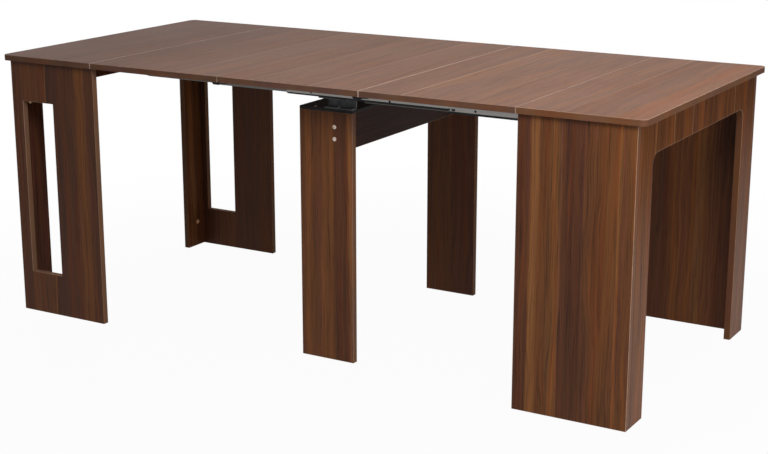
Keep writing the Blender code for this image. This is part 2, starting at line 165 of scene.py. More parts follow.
@dataclass(frozen=True)
class Outline:
    """A closed outline with rounded corners and its solid on the left of the path.

    Attributes:
        corners: Corner points in order.
        radii: Radius of each corner.
        steps: Segments round each corner.
        rubbed: Share of wear along the edge after each corner.
    """

    corners: tuple[Pair, ...]
    radii: tuple[float, ...]
    steps: int = 6
    rubbed: tuple[float, ...] = ()

    def _edges(self) -> tuple[Array, Array, Array]:
        """Corners and directions of the outline.

        Returns:
            Corners, and the unit directions of the edges into and out of them.
        """
        corner = np.array(self.corners)
        into = corner - np.roll(corner, 1, axis=0)
        into = into / np.linalg.norm(into, axis=1, keepdims=True)
        return corner, into, np.roll(into, -1, axis=0)

    def _turns(self) -> Array:
        """1 at corners that turn left, which stand out, and -1 at corners that turn in."""
        _, into, out = self._edges()
        return np.sign(into[:, 0] * out[:, 1] - into[:, 1] * out[:, 0])

    def rings(self, insets: Array) -> Array:
        """The outline moved inwards, once for each inset.

        A corner moves by inset (n1 + n2) / (1 + n1.n2), with n1 and n2 the left normals of its
        edges. Round a corner with radius r the path is the corner - r (1 - sin a) into
        + r (1 - cos a) out, with the angle a running from 0 to 90 degrees.

        Args:
            insets: Distances inwards, one for each ring.

        Returns:
            Points by ring, place along the ring, and coordinate.
        """
        corner, into, out = self._edges()
        normal = np.stack([-into[:, 1], into[:, 0]], axis=1)
        following = np.roll(normal, -1, axis=0)
        mitre = (normal + following) / (1.0 + (normal * following).sum(1, keepdims=True))
        moved = corner + insets[:, None, None] * mitre
        radius = np.array(self.radii) - insets[:, None] * self._turns()
        radius = np.maximum(radius, LEAST_RADIUS)[..., None]
        angle = np.linspace(0.0, RIGHT_ANGLE, self.steps + 1)
        back = radius * np.concatenate([[1.0], 1.0 - np.sin(angle), [0.0]])
        ahead = radius * np.concatenate([[0.0], 1.0 - np.cos(angle), [1.0]])
        back[..., 0] += EASE
        ahead[..., -1] += EASE
        path = moved[:, :, None] - back[..., None] * into[:, None]
        path = path + ahead[..., None] * out[:, None]
        return path.reshape(len(insets), -1, 2)

    def edge_wear(self) -> Array:
        """Wear along the path.

        Returns:
            Each edge's own share, and at a corner the greater of its two edges' shares.
        """
        edge = np.array(self.rubbed or (1.0,) * len(self.corners))
        before = np.roll(edge, 1)
        middle = np.repeat(np.maximum(edge, before)[:, None], self.steps + 1, axis=1)
        return np.concatenate([before[:, None], middle, edge[:, None]], axis=1).ravel()

    def corner_wear(self, limit: float) -> Array:
        """Wear of the sharp corners.

        Args:
            limit: Greatest radius of a sharp corner.

        Returns:
            1 along sharp corners that stand out, and 0 elsewhere.
        """
        sharp = (np.array(self.radii) <= limit) & (self._turns() > 0)
        pattern = np.concatenate([[0.0], np.ones(self.steps + 1), [0.0]])
        return (sharp[:, None] * pattern).ravel()

    def reversed(self) -> Outline:
        """The same outline followed the other way, as the edge of a hole."""
        rubbed = self.rubbed[-2::-1] + self.rubbed[-1:]
        return Outline(self.corners[::-1], self.radii[::-1], self.steps, rubbed)


def rectangle(low: Pair, high: Pair, radius: float, rubbed: tuple[float, ...] = ()) -> Outline:
    """Rectangle between two corners.

    Args:
        low: Lower left corner.
        high: Upper right corner.
        radius: Radius of every corner.
        rubbed: Wear of the lower, right, upper and left edges.

    Returns:
        The outline, from the lower left corner round to the left.
    """
    corners = ((low[0], low[1]), (high[0], low[1]), (high[0], high[1]), (low[0], high[1]))
    return Outline(corners, (radius,) * 4, rubbed=rubbed)


@dataclass
class Surface:
    """Closed surfaces gathered into one piece."""

    points: list[Array] = field(default_factory=list)
    faces: list[list[int]] = field(default_factory=list)
    finishes: list[int] = field(default_factory=list)
    worn: list[Array] = field(default_factory=list)
    count: int = 0

    def add(
        self,
        rings: Array,
        worn: Array | None = None,
        finish: int = 0,
        closed: bool = False,
        turned: bool = False,
    ) -> None:
        """Add a grid of points, whose every cell becomes a quad.

        Args:
            rings: Points by ring, place along the ring, and coordinate.
            worn: Share of wear at each point, or None for no wear.
            finish: Place of the surface's material on the piece.
            closed: Whether the last ring joins the first; otherwise both get a flat cap.
            turned: Whether the faces are turned round.
        """
        rows, steps = rings.shape[:2]
        index = np.arange(rows * steps).reshape(rows, steps) + self.count
        lower = index if closed else index[:-1]
        upper = np.roll(index, -1, axis=0) if closed else index[1:]
        cells = np.stack([lower, np.roll(lower, -1, 1), np.roll(upper, -1, 1), upper], axis=-1)
        caps = [] if closed else [index[0, ::-1], index[-1]]
        way = -1 if turned else 1
        made = cells.reshape(-1, 4)[:, ::way].tolist() + [cap[::way].tolist() for cap in caps]
        self.faces += made
        self.finishes += [finish] * len(made)
        self.points.append(rings.reshape(-1, 3))
        self.worn.append(np.zeros(rows * steps) if worn is None else worn.ravel())
        self.count += rows * steps

    def stand_for(self, node: str, body: str, materials: list[Material]) -> None:
        """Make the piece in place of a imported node.

        Args:
            node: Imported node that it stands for.
            body: Body that it moves with.
            materials: Materials in the order the surfaces name them.
        """
        name = f"{node}_dressed"
        mesh = bpy.data.meshes.new(name)
        mesh.from_pydata(np.concatenate(self.points).tolist(), [], self.faces)
        for material in materials:
            mesh.materials.append(material)
        mesh.polygons.foreach_set("material_index", self.finishes)
        mesh.polygons.foreach_set("use_smooth", [True] * len(self.faces))
        wear = mesh.attributes.new("wear", "FLOAT", "POINT")
        wear.data.foreach_set("value", np.concatenate(self.worn))
        mesh.set_sharp_from_angle(angle=SMOOTH_ANGLE)
        mesh.update()
        piece = bpy.data.objects.new(name, mesh)
        bpy.context.scene.collection.objects.link(piece)
        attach(piece, body)
        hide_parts(node)
        LOG.info("%s on %s", piece.name, body)


@dataclass(frozen=True)
class Arris:
    """Rounded edge between a board's face and its side.

    Attributes:
        radius: Radius of the rounding.
        steps: Segments round the rounding.
    """

    radius: float
    steps: int = 3

    def profile(self, thickness: float) -> tuple[Array, Array, Array]:
        """Path up the side of a board from its lower face to its upper one.

        Round the lower arris the inset is r (1 - sin a) and the height r (1 - cos a), with the
        angle a from 0 to 90 degrees, and the upper arris is the same from the top down.

        Args:
            thickness: The board's thickness.

        Returns:
            Insets, heights and shares of wear along the path.
        """
        angle = np.linspace(0.0, RIGHT_ANGLE, self.steps + 1)
        inset = self.radius * (1.0 - np.sin(angle))
        rise = self.radius * (1.0 - np.cos(angle))
        margin = self.radius + EASE
        insets = np.concatenate([inset, [0.0, 0.0], inset[::-1]])
        heights = np.concatenate([rise, [margin, thickness - margin], thickness - rise[::-1]])
        worn = np.concatenate([np.ones(len(angle)), [0.0, 0.0], np.ones(len(angle))])
        return insets, heights, worn


def lifted(rings: Array, heights: Array) -> Array:
    """Rings in the plane, each raised to its own height."""
    raised = np.broadcast_to(heights[:, None, None], rings.shape[:2] + (1,))
    return np.concatenate([rings, raised], axis=-1)


@dataclass
class Board:
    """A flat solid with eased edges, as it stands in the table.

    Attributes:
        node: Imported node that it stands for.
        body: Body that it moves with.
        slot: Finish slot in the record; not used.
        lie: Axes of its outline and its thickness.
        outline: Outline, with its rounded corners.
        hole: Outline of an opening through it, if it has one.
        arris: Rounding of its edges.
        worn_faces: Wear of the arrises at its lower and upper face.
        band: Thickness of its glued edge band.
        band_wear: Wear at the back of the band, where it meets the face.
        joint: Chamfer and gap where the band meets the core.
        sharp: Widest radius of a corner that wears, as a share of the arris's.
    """

    node: str
    body: str
    slot: str
    lie: Lie
    outline: Outline
    hole: Outline | None = None
    arris: Arris = Arris(0.0008)
    worn_faces: Pair = (1.0, 1.0)
    band: float = 0.0012
    band_wear: float = 0.8
    joint: float = 0.00012
    sharp: float = 1.5

    @classmethod
    def filling(
        cls,
        node: str,
        body: str,
        slot: str,
        lie: Lie,
        radius: float,
        rubbed: tuple[float, ...] = (),
        worn_faces: Pair = (1.0, 1.0),
    ) -> Board:
        """Board that fills its node's box.

        Args:
            node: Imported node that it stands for.
            body: Body that it moves with.
            slot: Finish slot in the record.
            lie: Axes of its outline and its thickness.
            radius: Radius of its corners.
            rubbed: Wear of its lower, right, upper and left edges.
            worn_faces: Wear of the arrises at its lower and upper face.

        Returns:
            The board.
        """
        low, high = ([corner[axis] for axis in lie.value[:2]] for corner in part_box(node))
        outline = rectangle(low, high, radius, rubbed)
        return cls(node, body, slot, lie, outline, worn_faces=worn_faces)

    @property
    def _span(self) -> Pair:
        """Lowest place through the board's thickness, and the thickness."""
        low, high = (corner[self.lie.value[2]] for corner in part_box(self.node))
        return low, high - low

    def _add(
        self, surface: Surface, rings: Array, worn: Array, finish: int, closed: bool
    ) -> None:
        """Put rings where the board stands and add them to its surface."""
        raised = rings + np.array([0.0, 0.0, self._span[0]])
        surface.add(placed(raised, self.lie.value), worn, finish, closed, self.lie.mirrored)

    def _wear(self, path: Outline, worn: Array) -> Array:
        """Wear over a side, the greater of its arris's and its corners'.

        Args:
            path: Outline that the side follows.
            worn: Wear up the side's profile.

        Returns:
            Wear by ring and place along the ring.
        """
        half = len(worn) // 2
        face = np.repeat(self.worn_faces, [half, len(worn) - half])
        corners = path.corner_wear(self.arris.radius * self.sharp)
        both = np.maximum((worn * face)[:, None], corners[None, :] * max(self.worn_faces))
        return both * path.edge_wear()

    def _banding(self, surface: Surface, path: Outline) -> None:
        """Edge band: the side's profile closed behind itself and carried along the outline.

        Args:
            surface: Surface that it is added to.
            path: Outline that it follows.
        """
        thickness = self._span[1]
        insets, heights, worn = self.arris.profile(thickness)
        insets = np.concatenate([[self.band], insets, [self.band]])
        heights = np.concatenate([[0.0], heights, [thickness]])
        worn = np.concatenate([[self.band_wear], worn, [self.band_wear]])
        rings = lifted(path.rings(insets), heights)
        self._add(surface, rings, self._wear(path, worn), 1, True)

    def _core(self, surface: Surface) -> None:
        """Core board inside the band, with a hair-line chamfer where the two meet.

        Args:
            surface: Surface that it is added to.
        """
        thickness = self._span[1]
        inset = self.band + self.joint
        insets = np.array([inset + self.joint, inset, inset, inset + self.joint])
        heights = np.array([0.0, self.joint, thickness - self.joint, thickness])
        rings = lifted(self.outline.rings(insets), heights)
        if self.hole is not None:
            inner = lifted(self.hole.rings(-insets), heights)[::-1]
            rings = np.concatenate([rings, inner])
        self._add(surface, rings, np.zeros(rings.shape[:2]), 0, self.hole is not None)

    def build(self, face: Material, edge: Material | None = None) -> None:
        """Make the board and put it in its node's place.

        Args:
            face: Material of its faces.
            edge: Material of its edge band, if it has one.
        """
        surface = Surface()
        if edge is None:
            insets, heights, worn = self.arris.profile(self._span[1])
            rings = lifted(self.outline.rings(insets), heights)
            self._add(surface, rings, self._wear(self.outline, worn), 0, False)
        else:
            self._core(surface)
            self._banding(surface, self.outline)
            if self.hole is not None:
                self._banding(surface, self.hole.reversed())
        materials = [face] if edge is None else [face, edge]
        surface.stand_for(self.node, self.body, materials)


# Radii of a shank's tip and of a head's underside, as shares of the shank's and the head's.
TIP_SHARE = 0.6
UNDERSIDE_SHARE = 0.94
# Length of a shank up from its tip's bevel, and height of an underside's, as shares.
STEM_SHARE = 0.97
BEVEL_SHARE = 0.35
# Radii and depths of a recess at its mouth, its wall's top and its floor, as shares.
RECESS_RADII = (1.0, 0.93, 0.9)
RECESS_DEPTHS = (0.0, 0.2, 1.0)
DOME_RINGS = 7


@dataclass(frozen=True)
class DomedHead:
    """Head and shank of a screw or bolt, turned round an axis.

    Attributes:
        radius: Radius of the head.
        height: Height of the head's crown.
        shank: Radius of the shank.
        length: Length of the shank below the head.
        recess: Shape of the driver recess.
        recess_radius: Widest radius of the recess.
        recess_depth: Depth of the recess.
        around: Points round each ring.
        rim: Height of the head's upright rim, as a share of the head's.
        brow: Radius of the flat round the recess, as a share of the recess's.
    """

    radius: float
    height: float
    shank: float
    length: float
    recess: Recess
    recess_radius: float
    recess_depth: float
    around: int = 48
    rim: float = 0.25
    brow: float = 1.35

    def rings(self) -> Array:
        """Rings from the shank's tip over the head to the floor of its recess.

        Each ring is a circle at its station's radius and height. The dome's radius follows
        R cos a and its height H sin a. The recess's rings use the recess's own radius share.

        Returns:
            Points by ring, place round the ring, and coordinate, with the seat at height 0.
        """
        turn = np.linspace(0.0, 2 * np.pi, self.around, endpoint=False)
        mouth = math.acos(min(1.0, self.brow * self.recess_radius / self.radius))
        lift = np.linspace(0.0, mouth, DOME_RINGS)
        rim = self.height * self.rim
        dome_radius = self.radius * np.cos(lift)
        dome_height = rim + (self.height - rim) * np.sin(lift)
        crown = dome_height[-1]
        tip, under = self.shank * TIP_SHARE, self.radius * UNDERSIDE_SHARE
        low = [tip, self.shank, self.shank, under, self.radius]
        low_height = [-self.length, -self.length * STEM_SHARE, 0.0, 0.0, rim * BEVEL_SHARE]
        plain = np.concatenate([low, dome_radius])[:, None] * np.ones(self.around)
        shape = self.recess.share(turn) * self.recess_radius
        sunk = np.array(RECESS_RADII)[:, None] * shape
        floor = [crown - self.recess_depth * share for share in RECESS_DEPTHS]
        heights = np.concatenate([low_height, dome_height, floor])[:, None]
        reach = np.concatenate([plain, sunk])
        heights = np.broadcast_to(heights, reach.shape)
        return np.stack([reach * np.cos(turn), reach * np.sin(turn), heights], axis=-1)

    def build(
        self,
        node: str,
        body: str,
        slot: str,
        finish: Material,
        axis: Axis,
        seat: float,
        sense: int,
    ) -> None:
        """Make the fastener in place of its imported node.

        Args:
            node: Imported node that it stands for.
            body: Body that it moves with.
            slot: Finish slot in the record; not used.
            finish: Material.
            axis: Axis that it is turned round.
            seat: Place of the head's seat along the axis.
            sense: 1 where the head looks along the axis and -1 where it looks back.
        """
        low, high = (np.array(corner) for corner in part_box(node))
        middle = (low + high) / 2
        middle[axis.value] = seat
        order = tuple((axis.value + step) % 3 for step in (1, 2, 3))
        rings = placed(self.rings() * np.array([1.0, 1.0, sense]), order)
        surface = Surface()
        surface.add(rings + middle, turned=sense < 0)
        surface.stand_for(node, body, [finish])


class Wiring:
    """Nodes of one tree, added and linked one after another."""

    def __init__(self, tree: bpy.types.NodeTree) -> None:
        """Start with an empty tree."""
        self.tree = tree
        tree.nodes.clear()

    def put(self, socket: Socket, value: Value) -> None:
        """Link a socket, or set its value.

        Args:
            socket: The socket.
            value: Socket to link it with, or its value. A colour of three parts gets a full alpha.
        """
        if isinstance(value, bpy.types.NodeSocket):
            self.tree.links.new(value, socket)
        elif socket.type == "RGBA" and len(value) == 3:
            socket.default_value = (*value, 1.0)
        else:
            socket.default_value = value

    def add(self, kind: str, inputs: dict[str | int, Value], **options: str) -> bpy.types.Node:
        """Add a node.

        Args:
            kind: Its type, without the words that all types begin with.
            inputs: What each input is linked to or set to.
            options: Its other settings.

        Returns:
            The node.
        """
        node = self.tree.nodes.new(f"ShaderNode{kind}")
        for name, value in options.items():
            setattr(node, name, value)
        for key, value in inputs.items():
            self.put(node.inputs[key], value)
        return node

    def math(self, operation: str, *values: Value) -> Socket:
        """Result of a Math node on up to three values."""
        return self.add("Math", dict(enumerate(values)), operation=operation).outputs[0]

    def seen(self) -> Socket:
        """Which rays see the white backdrop.

        Returns:
            1 for rays that the eye, a gloss or glass sends, and 0 for others.
        """
        rays = self.add("LightPath", {}).outputs
        either = self.math("MAXIMUM", rays["Is Camera Ray"], rays["Is Glossy Ray"])
        return self.math("MAXIMUM", either, rays["Is Transmission Ray"])

    def show(self, share: Socket, lit: Socket, white: Socket, output: str) -> None:
        """Blend a lit shader with a white one by a share, at the tree's output."""
        blend = self.add("MixShader", {0: share, 1: lit, 2: white})
        self.add(output, {"Surface": blend.outputs[0]})


class Texture(Enum):
    """Noises of the finishes: scale on all axes or on each, octaves, and their share."""

    HAZE = (3.0, 3.0, 0.5)
    UPRIGHT_STREAK = ((420.0, 420.0, 6.0), 4.0, 0.6)
    LEVEL_STREAK = ((6.0, 6.0, 420.0), 4.0, 0.6)
    PATCH = (9.0, 3.0, 0.6)
    CAST = ((14.0, 14.0, 5.0), 2.0, 0.5)
    GRIT = (60.0, 2.0, 0.6)
    DRAWN = ((3.0, 900.0, 900.0), 3.0, 0.6)
    GREASE = ((14.0, 40.0, 90.0), 4.0, 0.6)
    CLOUD = (130.0, 4.0, 0.6)
    PITS = (1800.0, 2.0, 0.5)
    DUST = (35.0, 4.0, 0.6)


NOISE_MIDDLE = 0.5
# Ruddy, green and mauve casts of the walnut, each at its level of the noise.
CASTS = [
    (0.36, (1.00, 0.86, 0.72, 1.0)),
    (0.50, (0.88, 0.94, 0.84, 1.0)),
    (0.64, (0.86, 0.85, 1.00, 1.0)),
]
# Heights between which the gloss of an upright board changes.
GLOSS_FOOT = 0.10
GLOSS_CROWN = 0.68
# Powers of a shade in red, green and blue, which make dark grain warm.
WARM_POWERS = (1.0, 0.9, 0.62)


class NodeGraph(Wiring):
    """Nodes of one finish."""

    def __init__(self, name: str) -> None:
        """Start a material with a shader and an output.

        Args:
            name: Material name.
        """
        self.material = bpy.data.materials.new(name)
        self.material.use_nodes = True
        super().__init__(self.material.node_tree)
        self.shader = self.add("BsdfPrincipled", {})
        self.add("OutputMaterial", {"Surface": self.shader.outputs["BSDF"]})
        self.place = self.add("TexCoord", {}).outputs["Object"]
        self.axes = list(self.add("SeparateXYZ", {0: self.place}).outputs)

    def set(self, name: str, value: Value) -> None:
        """Link or set a socket of the shader."""
        self.put(self.shader.inputs[name], value)

    def swing(self, value: Socket, amount: float) -> Socket:
        """A noise's distance from its middle, times an amount."""
        return self.math("MULTIPLY", self.math("SUBTRACT", value, NOISE_MIDDLE), amount)

    def total(self, *values: Value) -> Value:
        """Sum of several values."""
        return reduce(partial(self.math, "ADD"), values)

    def remap(self, value: Socket, low: float, high: float) -> Socket:
        """Value from low to high as a share from 0 to 1, eased at both ends."""
        inputs = {"Value": value, "From Min": low, "From Max": high}
        return self.add("MapRange", inputs, interpolation_type="SMOOTHSTEP").outputs["Result"]

    def drifted(self, axis: Axis, distance: Socket) -> Socket:
        """Object coordinates moved along one axis."""
        shift = self.add("CombineXYZ", {axis.value: distance}).outputs[0]
        return self.add("VectorMath", {0: self.place, 1: shift}).outputs[0]

    def noise(
        self,
        scales: float | Triple,
        detail: float,
        rough: float,
        place: Socket | None = None,
        shift: Socket | None = None,
    ) -> Socket:
        """Fractal noise from 0 to 1.

        Args:
            scales: Scale on all axes, or on each of them.
            detail: Octaves.
            rough: Share that each octave keeps.
            place: Coordinates, if not the object's own.
            shift: Fourth coordinate, so that neighbouring planks differ.

        Returns:
            The noise's value.
        """
        if isinstance(scales, float):
            scales = (scales, scales, scales)
        spread = self.add(
            "VectorMath", {0: place or self.place, 1: scales}, operation="MULTIPLY"
        ).outputs[0]
        inputs = {"Vector": spread, "Scale": 1.0, "Detail": detail, "Roughness": rough}
        if shift is None:
            return self.add("TexNoise", inputs, noise_dimensions="3D").outputs["Fac"]
        inputs["W"] = shift
        return self.add("TexNoise", inputs, noise_dimensions="4D").outputs["Fac"]

    def pattern(self, texture: Texture) -> Socket:
        """One of the finishes' named noises, from 0 to 1."""
        return self.noise(*texture.value)

    def ramp(
        self, share: Socket, stops: list[tuple[float, tuple[float, ...]]], stepped: bool = False
    ) -> tuple[Socket, Socket]:
        """Colour ramp.

        Args:
            share: Place on the ramp.
            stops: Places and colours with alpha.
            stepped: Whether each colour holds until the next stop.

        Returns:
            Colour and alpha.
        """
        node = self.add("ValToRGB", {0: share})
        node.color_ramp.interpolation = "CONSTANT" if stepped else "LINEAR"
        elements = node.color_ramp.elements
        elements[0].position, elements[0].color = stops[0]
        elements.remove(elements[1])
        for place, colour in stops[1:]:
            elements.new(place).color = colour
        return node.outputs["Color"], node.outputs["Alpha"]

    def mix(self, share: Value, first: Value, second: Value, **options: str) -> Socket:
        """Colour between a first and a second one."""
        inputs = {0: share, 6: first, 7: second}
        return self.add("Mix", inputs, data_type="RGBA", **options).outputs[2]

    def tinted(self, share: float, colour: Socket, cast: Socket) -> Socket:
        """Colour multiplied by a share of a ruddy, green or mauve cast."""
        tint, _ = self.ramp(cast, CASTS)
        return self.mix(share, colour, tint, blend_type="MULTIPLY")

    def deepened(self, colour: Socket, shade: Socket) -> Socket:
        """Shade a colour, and warm it where it is dark.

        Args:
            colour: The colour.
            shade: The shade.

        Returns:
            The colour times the shade, to a power of its own in red, green and blue.
        """
        powers = [self.math("POWER", shade, power) for power in WARM_POWERS]
        parts = self.add("CombineXYZ", dict(enumerate(powers))).outputs[0]
        return self.add("VectorMath", {0: colour, 1: parts}, operation="MULTIPLY").outputs[0]

    def wear(self) -> Socket:
        """Share of wear that the mesh carries."""
        return self.add("Attribute", {}, attribute_name="wear").outputs["Fac"]

    def gloss(self, level: float, foot: float | None = None) -> None:
        """Set the specular level, the same all over or changing with the height.

        Args:
            level: Specular level, by the top where it changes.
            foot: Specular level by the floor, where it is not the same all the way up.
        """
        if foot is not None:
            rise = self.remap(self.axes[Axis.HEIGHT.value], GLOSS_FOOT, GLOSS_CROWN)
            level = self.total(self.math("MULTIPLY", rise, level - foot), foot)
        self.set("Specular IOR Level", level)

    def relief(self, height: Socket, strength: float, depth: float) -> None:
        """Bump the surface by a height.

        Args:
            height: Height from 0 to 1.
            strength: Share of the bump that shows.
            depth: Distance that a height of 1 stands for.
        """
        bump = self.add("Bump", {"Height": height, "Strength": strength, "Distance": depth})
        self.set("Normal", bump.outputs["Normal"])


class Tone(Enum):
    """Tones of the printed walnut's planks, as linear colours."""

    COCOA = (0.094, 0.0340, 0.0190)
    SMOKED = (0.112, 0.040, 0.0205)
    UMBER = (0.144, 0.052, 0.0225)
    CHESTNUT = (0.178, 0.0640, 0.0255)
    RUSSET = (0.200, 0.0700, 0.0270)
    OLIVE = (0.184, 0.0720, 0.0285)
    HONEY = (0.240, 0.0940, 0.0370)
    ASH = (0.160, 0.068, 0.0360)
    TEAK = (0.142, 0.058, 0.0300)
    FALLOW = (0.171, 0.076, 0.0430)
    BUFF = (0.184, 0.083, 0.0450)
    FAWN = (0.190, 0.075, 0.036)
    DRAB = (0.132, 0.064, 0.046)
    TAUPE = (0.214, 0.106, 0.065)
    SAND = (0.270, 0.138, 0.082)
    FLAX = (0.320, 0.190, 0.128)
    PALE_LINE = (0.250, 0.112, 0.058)
    UMBER_ASH = (0.124, 0.050, 0.026)
    DUSK = (0.112, 0.045, 0.024)
    # Soot is painted shade: it darkens the crossbar and its edges, which stand in the shadow under
    # the top.
    SOOT = (0.055, 0.0215, 0.0145)


Planks = tuple[tuple[float, Tone], ...]
PER_METRE = 1000  # Millimetres in a metre.


def planks(layout: str) -> Planks:
    """Planks in order across a board.

    Args:
        layout: Width in millimetres and tone of each plank, such as "85 dusk, 3 ash".

    Returns:
        Each plank's width in metres and its tone.
    """
    pairs = [plank.split() for plank in layout.split(",")]
    return tuple((float(width) / PER_METRE, Tone[tone.upper()]) for width, tone in pairs)


class Grain(Enum):
    """Layers of the printed grain: scales across and along it, octaves, and their share."""

    FIBRE = (230.0, 1.5, 3.0, 0.6)
    ROAM = (11.0, 2.6, 2.0, 0.5)
    SWAY = (7.0, 2.0, 3.0, 0.55)
    BROAD = (24.0, 1.6, 4.0, 0.6)
    STREAK = (95.0, 2.5, 3.0, 0.6)
    FINE = (270.0, 3.2, 3.0, 0.65)
    SPECK = (1300.0, 42.0, 1.0, 0.5)
    DASH = (420.0, 10.0, 2.0, 0.6)
    CAST = (55.0, 1.2, 2.0, 0.5)


# Weights of the grain's layers in a plank's shade.
BROAD_SHADE = 0.70
STREAK_SHADE = 1.10
FINE_SHADE = 1.45
PORE_SHADE = -0.20
DASH_SHADE = -0.28
LEAST_SHADE = 0.05
# Levels of their layers between which pores and dashes come in.
PORE_LEVELS = (0.58, 0.72)
DASH_LEVELS = (0.52, 0.66)
# Weights of fine grain, haze and pores in the roughness, and of fine grain in the relief.
FINE_ROUGHNESS = 0.16
HAZE_ROUGHNESS = 0.12
PORE_ROUGHNESS = 0.12
FINE_HEIGHT = 0.35
# Distance by which the grain sways, and spacing of the planks' own patterns.
SWAY_REACH = 0.06
PATTERN_STEP = 37.0
GOLDEN_SHARE = 0.618034


@dataclass(frozen=True)
class WalnutLaminate:
    """Printed walnut on a board's faces: planks side by side with grain running along them.

    Attributes:
        node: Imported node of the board.
        planks: Width and tone of each plank, in order across the board.
        across: Axis across the planks.
        along: Axis along the grain.
        gloss: Specular level.
        foot_gloss: Specular level by the floor, where it is not the same all the way up.
        rough: Middle roughness.
        figure: Strength of the grain's figure.
        bold: Strength of the wide streaks beside the fine ones.
        level: Middle of the shade that the grain gives a plank's tone.
        tint: Share of the ruddy, green and mauve casts.
        waver: Distance by which the grain shifts a plank's edge.
        wander: Distance by which a plank's edge leaves its straight line.
        soft: Half the width of the strip where two planks blend.
        narrow: That half width at most, as a share of the narrower plank.
    """

    node: str
    planks: Planks
    across: Axis = Axis.LENGTH
    along: Axis = Axis.HEIGHT
    gloss: float = 0.135
    foot_gloss: float | None = None
    rough: float = 0.46
    figure: float = 1.20
    bold: float = 1.0
    level: float = 1.12
    tint: float = 1.0
    waver: float = 0.008
    wander: float = 0.02
    soft: float = 0.006
    narrow: float = 0.35

    @classmethod
    def flat(cls, node: str, layout: Planks) -> Material:
        """The print on a top or leaf, straighter and less tinted than on a panel.

        Args:
            node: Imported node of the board.
            layout: Its planks, from left to right.

        Returns:
            The material, with its grain across the table.
        """
        finish = cls(node, layout, Axis.LENGTH, Axis.WIDTH, gloss=0.113, rough=0.50, figure=0.90)
        finish = replace(finish, bold=1.15, level=1.17, tint=0.6, waver=0.003, wander=0.006)
        return finish.material()

    def _layer(
        self,
        graph: NodeGraph,
        grain: Grain,
        place: Socket | None = None,
        shift: Socket | None = None,
    ) -> Socket:
        """One layer of the grain, long along it.

        Args:
            graph: Nodes of the finish.
            grain: Which layer.
            place: Coordinates, if not the object's own.
            shift: Fourth coordinate, so that neighbouring planks differ.

        Returns:
            The layer's value, from 0 to 1.
        """
        across, along, detail, rough = grain.value
        scales = tuple(along if axis is self.along else across for axis in Axis)
        return graph.noise(scales, detail, rough, place, shift)

    def _layout(self, graph: NodeGraph) -> tuple[Socket, Socket]:
        """Tone of the plank at each place, and a number that differs from plank to plank.

        Args:
            graph: Nodes of the finish.

        Returns:
            The tone, which blends into the next plank's along a strip at each edge, and the number.
        """
        widths = np.array([width for width, _ in self.planks])
        tones = [(*tone.value, 1.0) for _, tone in self.planks]
        total = float(widths.sum())
        ends = np.cumsum(widths)
        reach = np.minimum(self.soft, self.narrow * np.minimum(widths[:-1], widths[1:]))
        blended = []
        for edge, half, before, after in zip(ends, reach, tones, tones[1:]):
            blended.append((float(edge - half) / total, before))
            blended.append((float(edge + half) / total, after))
        chance = np.mod(np.arange(1, len(widths) + 1) * GOLDEN_SHARE, 1.0)
        numbered = [
            (float(end - width) / total, (0.0, 0.0, 0.0, float(number)))
            for end, width, number in zip(ends, widths, chance)
        ]
        fibre = graph.swing(self._layer(graph, Grain.FIBRE), self.waver)
        roam = graph.swing(self._layer(graph, Grain.ROAM), self.wander)
        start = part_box(self.node)[0][self.across.value]
        spot = graph.math("SUBTRACT", graph.axes[self.across.value], start)
        share = graph.math("DIVIDE", graph.total(fibre, roam, spot), total)
        tone, _ = graph.ramp(share, blended)
        _, number = graph.ramp(share, numbered, stepped=True)
        return tone, number

    def material(self) -> Material:
        """Make the material.

        Returns:
            Planks of their own tones, tinted and shaded by streaks of three widths that sway
            with the grain, by fine dark dashes, and by pores, which also roughen and dent it.
        """
        graph = NodeGraph(f"walnut_{self.node}")
        tone, chance = self._layout(graph)
        shift = graph.math("MULTIPLY", chance, PATTERN_STEP)
        sway = self._layer(graph, Grain.SWAY, None, shift)
        drift = graph.drifted(self.across, graph.swing(sway, SWAY_REACH))
        layers = (Grain.BROAD, Grain.STREAK, Grain.FINE, Grain.SPECK, Grain.DASH, Grain.CAST)
        broad, streak, fine, speck, dash, cast = (
            self._layer(graph, grain, drift, shift) for grain in layers
        )
        pores = graph.remap(speck, *PORE_LEVELS)
        dashes = graph.remap(dash, *DASH_LEVELS)
        shade = graph.total(
            graph.swing(broad, BROAD_SHADE * self.bold * self.figure),
            graph.swing(streak, STREAK_SHADE * self.bold * self.figure),
            graph.swing(fine, FINE_SHADE * self.figure),
            graph.math("MULTIPLY", pores, PORE_SHADE * self.figure),
            graph.math("MULTIPLY", dashes, DASH_SHADE * self.figure),
            self.level,
        )
        body = graph.tinted(self.tint, tone, cast)
        graph.set("Base Color", graph.deepened(body, graph.math("MAXIMUM", shade, LEAST_SHADE)))
        rough = graph.total(
            graph.swing(fine, FINE_ROUGHNESS),
            graph.swing(graph.pattern(Texture.HAZE), HAZE_ROUGHNESS),
            graph.math("MULTIPLY", pores, PORE_ROUGHNESS),
            self.rough,
        )
        graph.set("Roughness", rough)
        graph.gloss(self.gloss, self.foot_gloss)
        height = graph.math("SUBTRACT", graph.math("MULTIPLY", fine, FINE_HEIGHT), pores)
        graph.relief(height, strength=0.10, depth=0.0003)
        return graph.material


